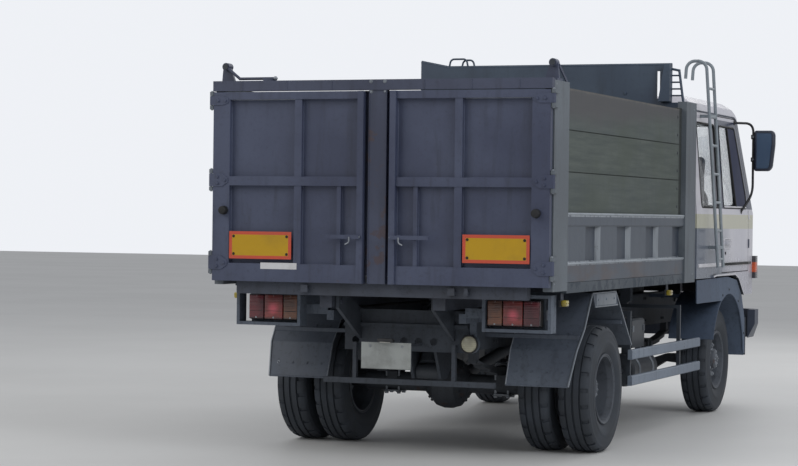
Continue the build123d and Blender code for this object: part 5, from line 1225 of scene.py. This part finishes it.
for side in both:
    mesh = bmesh.new()
    addMoulding(mesh, side, *doorTrim["moulding"])
    pane = softened(sideRun(side, doorTrim["pane"], paneRubber["out"]), *doorTrim["paneBend"], True)
    addPath(mesh, pane, paneRubber["radius"], True, 1)
    addPath(mesh, sideRun(side, doorTrim["bar"], doorTrim["barOut"]), doorTrim["barRadius"], False, 1)
    vent = sideRun(side, doorTrim["vent"], doorTrim["ventOut"])
    addPlate(mesh, vent, across * side, doorTrim["ventThick"], material=5)
    cup = softened(sideRun(side, doorTrim["cup"], doorTrim["cupOut"]), *doorTrim["cupBend"], True)
    addPath(mesh, cup, doorTrim["cupRadius"], True)
    back, front = (cabSide(side, *doorTrim["lock"], out) for out in doorTrim["barrel"])
    addRod(mesh, back, front, doorTrim["barrelRadius"], 20, 3)
    back, front = (cabSide(side, *doorTrim["lock"], out) for out in doorTrim["keyhole"])
    addRod(mesh, back, front, doorTrim["keyholeRadius"], 10, 1)
    addPath(mesh, sideRun(side, doorTrim["sill"], doorTrim["sillOut"]), doorTrim["sillRadius"], False, 1)
    for kind in ("card", "rest"):
        low, high = (sided(side, *corner) for corner in doorCard[kind])
        addBlock(mesh, low, high, doorCard[kind + "Round"], 4)
    addRod(mesh, *(sided(side, *point) for point in doorCard["hub"]), doorCard["hubRadius"], 18, 1)
    addPath(mesh, [sided(side, *point) for point in doorCard["crank"]], doorCard["crankRadius"], False, 3)
    addDome(mesh, sided(side, *doorCard["knob"]), doorCard["knobRadii"], 1, 14, 8)
    colours = ["trimWhite", "sealRubber", "dripGrey", "brightSteel", "trimCard", "ventDark"]
    makePiece(mesh, "doorTrim_" + sideName[side], colours, sideName[side] + "_door")
print("cab trim done")


# packing strips that the bed's runners rest over

packing = dict(
    inner=0.336, outer=0.414, foot=0.9095, head=0.9205, round=0.002,
    runs=((0.53, 1.20), (1.215, 2.05), (2.065, 2.90)),
)
mesh = bmesh.new()
for side in both:
    for start, stop in packing["runs"]:
        addBlock(
            mesh, sided(side, packing["inner"], start, packing["foot"]),
            sided(side, packing["outer"], stop, packing["head"]), packing["round"],
        )
makePiece(mesh, "packingStrips", ["sealRubber"], "chassis")


# mudguards: rolled lips, the valance with its hem, and bolts

mudguard = dict(  # y is counted from the rear axle
    line=((1.007, -0.629, 0.453), (1.033, -0.541, 0.670), (1.046, -0.427, 0.798), (1.046, -0.262, 1.020),
          (1.046, 0.257, 1.020), (1.046, 0.504, 0.790), (1.046, 0.650, 0.654)), lip=0.0065, inner=0.602,
    innerLip=0.004, flap=((0.602, -0.629, 0.453), (1.005, -0.629, 0.453)), flapLip=0.0055,
    valance=((1.0495, -0.190, 0.940), (1.0525, 0.255, 1.014)), valanceRound=0.001,
    hem=((1.047, -0.205, 0.932), (1.047, 0.305, 0.932)), hemRadius=0.005, valanceBolts=(-0.15, 0.03, 0.21),
    valanceX=1.052, valanceZ=0.977, bolt=(0.007, 0.005, 6), boltX=(0.66, 0.76, 0.86, 0.96),
    boltRows=((-0.4505, 0.774, (0, -0.751, 0.659), (0.008, 0.006, 6)),
              (-0.593, 0.540, (0, -0.928, 0.371), (0.007, 0.005, 6))),
)


def byRear(side, x, y, z):  # y is counted from the rear axle
    return sided(side, x, axleY["rear"] + y, z)


mesh = bmesh.new()
for side in both:
    addPath(mesh, [byRear(side, *point) for point in mudguard["line"]], mudguard["lip"])
    inner = [byRear(side, mudguard["inner"], y, z) for x, y, z in mudguard["line"]]
    addPath(mesh, inner, mudguard["innerLip"], False, 0, 1)
    addPath(mesh, [byRear(side, *point) for point in mudguard["flap"]], mudguard["flapLip"], False, 2)
    addBlock(mesh, *(byRear(side, *corner) for corner in mudguard["valance"]), mudguard["valanceRound"], 3)
    addPath(mesh, [byRear(side, *point) for point in mudguard["hem"]], mudguard["hemRadius"])
    for y in mudguard["valanceBolts"]:
        spot = byRear(side, mudguard["valanceX"], y, mudguard["valanceZ"])
        addBolt(mesh, spot, across * side, *mudguard["bolt"], 3)
    for x in mudguard["boltX"]:
        for y, z, out, bolt in mudguard["boltRows"]:
            addBolt(mesh, byRear(side, x, y, z), out, *bolt, 2)
makePiece(mesh, "mudguardLips", ["edgeWear", "brightSteel", "mudPaint", "valancePaint"], "chassis")

frontGuard = dict(
    x=1.046, radius=0.520, angles=(*range(5, 110, 8), 116), lip=0.007, boltX=1.050, boltReach=0.548,
    boltAngles=(20, 55, 90, 112), bolt=(0.007, 0.005, 6),
)
archLip = dict(
    x=1.060, line=((4.135, 1.060), (4.232, 1.070), (4.840, 1.070), (4.968, 1.036), (5.152, 0.902)),
    radius=0.006,
)


def roundFront(side, x, reach, angle):  # a point round the front axle, by its angle in degrees up from ahead
    angle = radians(angle)
    return sided(side, x, axleY["front"] + reach * cos(angle), axleZ + reach * sin(angle))


mesh = bmesh.new()
for side in both:
    arc = [roundFront(side, frontGuard["x"], frontGuard["radius"], angle) for angle in frontGuard["angles"]]
    addPath(mesh, arc, frontGuard["lip"])
    for angle in frontGuard["boltAngles"]:
        spot = roundFront(side, frontGuard["boltX"], frontGuard["boltReach"], angle)
        addBolt(mesh, spot, across * side, *frontGuard["bolt"], 1)
makePiece(mesh, "frontGuardLips", ["flarePaint", "castIron"], "chassis")
mesh = bmesh.new()
for side in both:
    addPath(mesh, [sided(side, archLip["x"], y, z) for y, z in archLip["line"]], archLip["radius"])
makePiece(mesh, "archLips", ["trimWhite"], "cab")
print("mudguards done")


# chassis: U-bolts, rail bolts, side guard rivets and the bolts of the rear axle's housing

uBolt = dict(
    springX=0.380, rows=((axleY["rear"], 0.330, 0.540), (axleY["front"], 0.290, 0.545)), reach=0.045,
    half=0.043, bend=0.02, radius=0.0085, nutRise=0.006, nut=(0.013, 0.014, 6), plateX=0.055, plateY=0.058,
    plateFoot=0.006, plateHead=0.018, plateRound=0.003,
)
railBolt = dict(
    x=0.415, rows=(0.56, 0.95, 1.40, 1.84, 2.20, 2.54, 2.90, 3.30, 3.65, 4.10, 4.52, 5.05), pair=(0.0, 0.05),
    heights=(0.70, 0.87), size=(0.009, 0.008),
)
guardRivet = dict(
    x=1.002, rows=(2.183, 3.511), heights=(0.575, 0.399), pair=0.012, radii=(0.003, 0.007, 0.007),
)
housing = dict(x=0.106, circle=0.113, bolts=14, outX=0.7, outRound=0.714, bolt=(0.009, 0.012))
mesh = bmesh.new()
for side in both:
    middle = side * uBolt["springX"]
    for y, foot, head in uBolt["rows"]:
        for bowY in (y - uBolt["reach"], y + uBolt["reach"]):
            left, right = middle - uBolt["half"], middle + uBolt["half"]
            bow = [place(x, bowY, z) for x, z in ((left, foot), (left, head), (right, head), (right, foot))]
            addPath(mesh, softened(bow, uBolt["bend"]), uBolt["radius"], False, 1)
            for spot in (bow[0], bow[-1]):
                addBolt(mesh, spot + upward * uBolt["nutRise"], -upward, *uBolt["nut"], 1)
        addBlock(
            mesh, place(middle - uBolt["plateX"], y - uBolt["plateY"], foot + uBolt["plateFoot"]),
            place(middle + uBolt["plateX"], y + uBolt["plateY"], foot + uBolt["plateHead"]),
            uBolt["plateRound"],
        )
    for y in railBolt["rows"]:
        for z in railBolt["heights"]:
            for step in railBolt["pair"]:
                addBolt(mesh, sided(side, railBolt["x"], y + step, z), across * side, *railBolt["size"])
    for z in guardRivet["heights"]:
        for y in guardRivet["rows"]:
            for reach in (-guardRivet["pair"], guardRivet["pair"]):
                addDome(mesh, sided(side, guardRivet["x"], y, z + reach), guardRivet["radii"], 1, 12, 6)
for side in both:
    centre = byRear(side, housing["x"], 0, axleZ)
    for spot in ring(centre, housing["circle"], housing["bolts"], along, upward):
        out = across * side * housing["outX"] + (spot - centre).normalized() * housing["outRound"]
        addBolt(mesh, spot, out, *housing["bolt"])
makePiece(mesh, "underBolts", ["castIron", "edgeWear"], "chassis")


# tank bands, seams and cap, box latches and ribs, muffler bands

tankBand = dict(
    rows=(2.58, 3.14), loop=((-0.933, 0.397), (-0.933, 0.803), (-0.477, 0.803), (-0.477, 0.397)),
    bend=(0.062, 6), steps=(-0.018, -0.006, 0.006, 0.018), radius=0.0065, boltX=-0.938, boltZ=0.60,
    bolt=(0.010, 0.012),
)
tankSeam = dict(
    rows=(2.36, 2.86, 3.34), loop=((-0.929, 0.401), (-0.929, 0.799), (-0.481, 0.799), (-0.481, 0.401)),
    bend=(0.06, 6), radius=0.004,
)
tankCap = dict(spot=(-0.800, 2.470, 0.822), tall=0.014, radius=0.040, grips=12, grip=(0.005, 0.005, 0.007))
box = dict(
    latches=(((0.846, 2.640, 0.700), (0.856, 2.676, 0.745)), ((0.846, 2.920, 0.700), (0.856, 2.956, 0.745))),
    latchRound=0.003, ribs=(0.56, 0.66, 0.76), ribRun=(2.638, 2.962), ribZ=0.792, ribRadius=0.004,
)
mufflerBand = dict(
    rows=(3.20, 3.56), x=0.640, z=0.400, circle=0.117, steps=(-0.012, 0.0, 0.012), radius=0.0055,
)
mesh = bmesh.new()
for y in tankBand["rows"]:
    for step in tankBand["steps"]:
        loop = [place(x, y + step, z) for x, z in tankBand["loop"]]
        addPath(mesh, softened(loop, *tankBand["bend"], True), tankBand["radius"], True, 0, 1)
    addBolt(mesh, place(tankBand["boltX"], y, tankBand["boltZ"]), -across, *tankBand["bolt"])
for y in tankSeam["rows"]:
    loop = [place(x, y, z) for x, z in tankSeam["loop"]]
    addPath(mesh, softened(loop, *tankSeam["bend"], True), tankSeam["radius"], True, 1, 1)
cap = place(*tankCap["spot"])
addRod(mesh, cap, cap + upward * tankCap["tall"], tankCap["radius"], 28, 2)
middle = cap + upward * tankCap["tall"] / 2
for spot in ring(middle, tankCap["radius"], tankCap["grips"], across, along):
    addDome(mesh, spot, tankCap["grip"], 2, 8, 5)
for low, high in box["latches"]:
    addBlock(mesh, place(*low), place(*high), box["latchRound"])
for x in box["ribs"]:
    addPath(mesh, [place(x, y, box["ribZ"]) for y in box["ribRun"]], box["ribRadius"], False, 1, 1)
for y in mufflerBand["rows"]:
    for step in mufflerBand["steps"]:
        centre = place(mufflerBand["x"], y + step, mufflerBand["z"])
        band = ring(centre, mufflerBand["circle"], 40, upward, across)
        addPath(mesh, band, mufflerBand["radius"], True, 0, 1)
makePiece(mesh, "tankBands", ["edgeWear", "tankPaint", "blackPlastic"], "chassis")


# bumper: bolts, twin round head lamps

bumper = dict(
    lampX=(0.700, 0.820), lampZ=0.6525, rimY=5.745, rim=0.054, rimRadius=0.005, glassY=5.742,
    glass=(0.050, 0.012, 0.050), pan=((0.642, 5.735, 0.592), (0.878, 5.7455, 0.713)), panRound=0.003,
    boltX=(0.30, 0.52), boltY=5.755, boltZ=0.655, bolt=(0.011, 0.008, 6),
)
mesh = bmesh.new()
for side in both:
    addBlock(mesh, *(sided(side, *corner) for corner in bumper["pan"]), bumper["panRound"], 1)
    for x in bumper["lampX"]:
        rim = ring(sided(side, x, bumper["rimY"], bumper["lampZ"]), bumper["rim"], 40, across, upward)
        addPath(mesh, rim, bumper["rimRadius"], True, 2)
        addDome(mesh, sided(side, x, bumper["glassY"], bumper["lampZ"]), bumper["glass"], 0, 28, 12)
    for x in bumper["boltX"]:
        addBolt(mesh, sided(side, x, bumper["boltY"], bumper["boltZ"]), along, *bumper["bolt"], 2)
makePiece(mesh, "headLampGlass", ["lensClear", "blackPlastic", "brightSteel"], "chassis")
print("chassis details done")


# inside the cab: padded seats on their boxes

seat = dict(
    inner=0.478, outer=0.932, cushion=((4.446, 1.268), (4.876, 1.404)), back=((4.322, 1.432), (4.418, 1.985)),
    voxel=0.015, corner=0.026, pressure=4.0, quality=5, frames=20, cap=0.014, seams=(0.2, 0.4, 0.6, 0.8),
    seamDepth=0.006, seamHalf=0.009, fill=0.7,
)


def baked(pad):  # the pad takes the shape that its modifiers give
    made = bpy.data.meshes.new_from_object(pad.evaluated_get(bpy.context.evaluated_depsgraph_get()))
    pad.modifiers.clear()
    pad.data = made
    return made


def swell(pad):  # cloth pressure, held to a largest shift
    before = [vert.co.copy() for vert in pad.data.vertices]
    press = pad.modifiers.new("press", "CLOTH")
    press.settings.use_pressure = True
    press.settings.uniform_pressure_force = seat["pressure"]
    press.settings.effector_weights.gravity = 0
    press.settings.quality = seat["quality"]
    press.point_cache.frame_start, press.point_cache.frame_end = 1, seat["frames"]
    for step in range(1, seat["frames"] + 1):
        bpy.context.scene.frame_set(step)
    swollen = baked(pad)
    bpy.context.scene.frame_set(1)
    for vert, origin in zip(swollen.vertices, before):
        shift = vert.co - origin
        if shift.length > seat["cap"]:
            vert.co = origin + shift.normalized() * seat["cap"]


def makePad(low, high, crown):
    # a pad with sewn channels pressed into its crowned side, which faces along y (1) or z (2)
    mesh = bmesh.new()
    addBlock(mesh, low, high, seat["corner"])
    data = bpy.data.meshes.new("pad")
    mesh.to_mesh(data)
    mesh.free()
    pad = bpy.data.objects.new("pad", data)
    bpy.context.scene.collection.objects.link(pad)
    remesh = pad.modifiers.new("remesh", "REMESH")
    remesh.mode = "VOXEL"
    remesh.voxel_size = seat["voxel"]
    baked(pad)
    swell(pad)
    middle, half = (low + high) / 2, (high - low)[crown] / 2
    seams = [low.x + (high.x - low.x) * share for share in seat["seams"]]
    for vert in pad.data.vertices:
        spot = vert.co.x
        for seam in seams:
            depth = seat["seamDepth"] * exp(-((spot - seam) / seat["seamHalf"]) ** 2)
            share = (vert.co[crown] - middle[crown]) / half
            vert.co[crown] -= depth * max(0.0, min(1.0, share))
    smooth = pad.modifiers.new("smooth", "SUBSURF")
    smooth.levels = smooth.render_levels = 1
    made = baked(pad)
    bpy.data.objects.remove(pad)
    return made


drawn = []
for kind, crown in (("cushion", 2), ("back", 1)):
    low, high = (place(x, *corner) for x, corner in zip((seat["inner"], seat["outer"]), seat[kind]))
    drawn.append(makePad(low, high, crown))
mesh = bmesh.new()
for side in both:
    for data in drawn:
        count = len(mesh.verts)
        mesh.from_mesh(data)
        mesh.verts.ensure_lookup_table()
        fresh = mesh.verts[count:]
        if side < 0:
            bmesh.ops.scale(mesh, verts=fresh, vec=(-1, 1, 1))
            bmesh.ops.reverse_faces(mesh, faces=facesOf(fresh))
pads = makePiece(mesh, "seatPads", ["seatCloth"], "cab", 180, False)
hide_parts("seats")

seatBox = dict(
    piping=((0.474, 4.434, 1.336), (0.936, 4.434, 1.336), (0.936, 4.888, 1.336), (0.474, 4.888, 1.336)),
    pipingBend=(0.03, 4), pipingRadius=0.006, box=((0.49, 4.45, 1.102), (0.92, 4.85, 1.258)), boxRound=0.012,
    barX=(0.53, 0.88), post=((4.372, 1.25), (4.372, 1.45)), runner=((4.44, 1.255), (4.87, 1.272)),
    runnerHalf=0.014, runnerRound=0.003, elbow=((4.372, 1.26), (4.372, 1.25), (4.46, 1.25)), elbowBend=0.02,
    tube=0.010,
)
mesh = bmesh.new()
for side in both:
    piping = softened([sided(side, *point) for point in seatBox["piping"]], *seatBox["pipingBend"], True)
    addPath(mesh, piping, seatBox["pipingRadius"], True, 1)
    addBlock(mesh, *(sided(side, *corner) for corner in seatBox["box"]), seatBox["boxRound"])
    for x in seatBox["barX"]:
        foot, head = (sided(side, x, y, z) for y, z in seatBox["post"])
        addRod(mesh, foot, head, seatBox["tube"])
        near, far = seatBox["runner"]
        addBlock(
            mesh, sided(side, x - seatBox["runnerHalf"], *near), sided(side, x + seatBox["runnerHalf"], *far),
            seatBox["runnerRound"],
        )
        elbow = [sided(side, x, y, z) for y, z in seatBox["elbow"]]
        addPath(mesh, softened(elbow, seatBox["elbowBend"]), seatBox["tube"])
bases = makePiece(mesh, "seatBoxes", ["blackPlastic", "sealRubber"], "cab")
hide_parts("seats")
print("seats done")


# gear lever with its boot, visors, inner mirror, dial rims and switches

lever = dict(
    foot=(0.30, 4.98, 1.33), knee=(0, 0.02, 0.12), head=(0.34, 4.93, 1.62), bend=0.05, radius=0.008,
    knob=(0.024, 0.024, 0.028), boot=(0.052, 0.042, 0.032), bootFoot=-0.01, bootStep=0.014,
)
inside = dict(
    visor=((0.36, 5.02, 2.235), (0.82, 5.17, 2.253)), visorRound=0.007,
    mirror=((-0.12, 5.06, 2.175), (0.12, 5.085, 2.235)), mirrorRound=0.010,
    stalk=((0, 5.085, 2.23), (0, 5.12, 2.29)), stalkRadius=0.006,
    dials=((0.475, 0.046), (0.595, 0.046), (0.700, 0.026), (0.400, 0.020)), dialY=5.184, dialZ=1.439,
    dialDown=(0, 0.40, -0.916), dialRadius=0.0035, switches=(-0.62, -0.48, -0.34, 0.10, 0.18, 0.26),
    switch=((-0.024, 5.176, 1.430), (0.024, 5.196, 1.452)), switchRound=0.004,
)
mesh = bmesh.new()
foot, head = place(*lever["foot"]), place(*lever["head"])
addPath(mesh, softened([foot, foot + Vector(lever["knee"]), head], lever["bend"]), lever["radius"], False, 1)
addDome(mesh, head, lever["knob"], 0, 18, 12)
for index, spread in enumerate(lever["boot"]):
    start = foot + upward * (lever["bootFoot"] + index * lever["bootStep"])
    addRod(mesh, start, start + upward * lever["bootStep"], spread, 20)
for side in both:
    addBlock(mesh, *(sided(side, *corner) for corner in inside["visor"]), inside["visorRound"], 2)
addBlock(mesh, *(place(*corner) for corner in inside["mirror"]), inside["mirrorRound"])
addRod(mesh, *(place(*point) for point in inside["stalk"]), inside["stalkRadius"], 10)
for x, reach in inside["dials"]:
    rim = ring(place(x, inside["dialY"], inside["dialZ"]), reach, 28, across, Vector(inside["dialDown"]))
    addPath(mesh, rim, inside["dialRadius"], True, 1)
for x in inside["switches"]:
    low, high = (place(x + reach, y, z) for reach, y, z in inside["switch"])
    addBlock(mesh, low, high, inside["switchRound"], 2)
makePiece(mesh, "cabFittings", ["blackPlastic", "brightSteel", "trimCard"], "cab")
print("cab inside done")


# camera

view = dict(
    eye=(5.1663, -12.7797, 1.4876), yaw=21.4928, pitch=-0.4107, roll=0.6864, pixels=2284.815, width=798.0,
    sensor=36.0, far=200,
)
yaw, pitch, roll = (radians(view[key]) for key in ("yaw", "pitch", "roll"))
ahead = Vector((-sin(yaw) * cos(pitch), cos(yaw) * cos(pitch), sin(pitch)))
right = Vector((cos(yaw), sin(yaw), 0))
up = right.cross(ahead)
turnedRight = right * cos(roll) + up * sin(roll)
turnedUp = -right * sin(roll) + up * cos(roll)
cameraData = bpy.data.cameras.new("camera")
cameraData.sensor_fit = "HORIZONTAL"
cameraData.sensor_width = view["sensor"]
cameraData.lens = view["sensor"] * view["pixels"] / view["width"]
cameraData.clip_end = view["far"]
camera = bpy.data.objects.new("camera", cameraData)
basis = Matrix((turnedRight, turnedUp, -ahead)).transposed()
camera.matrix_world = Matrix.Translation(place(*view["eye"])) @ basis.to_4x4()
bpy.context.scene.collection.objects.link(camera)
bpy.context.scene.camera = camera


# floor, sky and soft lamps

studio = dict(
    floorHalf=60, floorZ=-0.0005, floorScale=0.4, floorTones=((0.62, 0.62, 0.61, 1), (0.66, 0.66, 0.65, 1)),
    floorRough=0.55, worldTone=(0.86, 0.88, 0.92, 1), worldLight=0.55, target=(0, 0, 1.2), lamps=[
        ((-7, -9, 8), 7.0, 380, (1.0, 0.98, 0.95)),
        ((9, -6, 7), 6.0, 420, (0.95, 0.97, 1.0)),
        ((2, 10, 9), 8.0, 420, (1.0, 1.0, 1.0)),
    ],
)
floorMesh = bmesh.new()
bmesh.ops.create_grid(floorMesh, x_segments=1, y_segments=1, size=studio["floorHalf"])
floorData = bpy.data.meshes.new("floor")
floorMesh.to_mesh(floorData)
floorMesh.free()
floor = bpy.data.objects.new("floor", floorData)
floor.location.z = studio["floorZ"]
bpy.context.scene.collection.objects.link(floor)
concrete = Finish("floorPaint")
tone = concrete.mix(concrete.ramp(concrete.noise(studio["floorScale"]), 0.3, 0.7), *studio["floorTones"])
concrete.set(Base_Color=tone, Roughness=studio["floorRough"])
floorData.materials.append(concrete.material)

world = bpy.data.worlds.new("studioWorld")
bpy.context.scene.world = world
world.use_nodes = True
sky = Nodes(world.node_tree)
background = [n for n in world.node_tree.nodes if n.type == "BACKGROUND"][0]
rays = sky.add("ShaderNodeLightPath").outputs
seen = sky.math("MINIMUM", sky.plus(rays["Is Camera Ray"], rays["Is Transmission Ray"]), 1.0)
strength = sky.plus(sky.times(seen, 1.0 - studio["worldLight"]), studio["worldLight"])  # full where it is seen
sky.feed(studio["worldTone"], background.inputs["Color"])
sky.feed(strength, background.inputs["Strength"])
for spot, size, power, tone in studio["lamps"]:
    light = bpy.data.lights.new("softLamp", "AREA")
    light.shape, light.size, light.energy, light.color = "SQUARE", size, power, tone
    lamp = bpy.data.objects.new("softLamp", light)
    lamp.location = spot
    lamp.rotation_mode = "QUATERNION"
    lamp.rotation_quaternion = (Vector(studio["target"]) - Vector(spot)).to_track_quat("-Z", "Y")
    bpy.context.scene.collection.objects.link(lamp)
bpy.context.scene.view_settings.view_transform = "Standard"
print("camera, light and floor done")
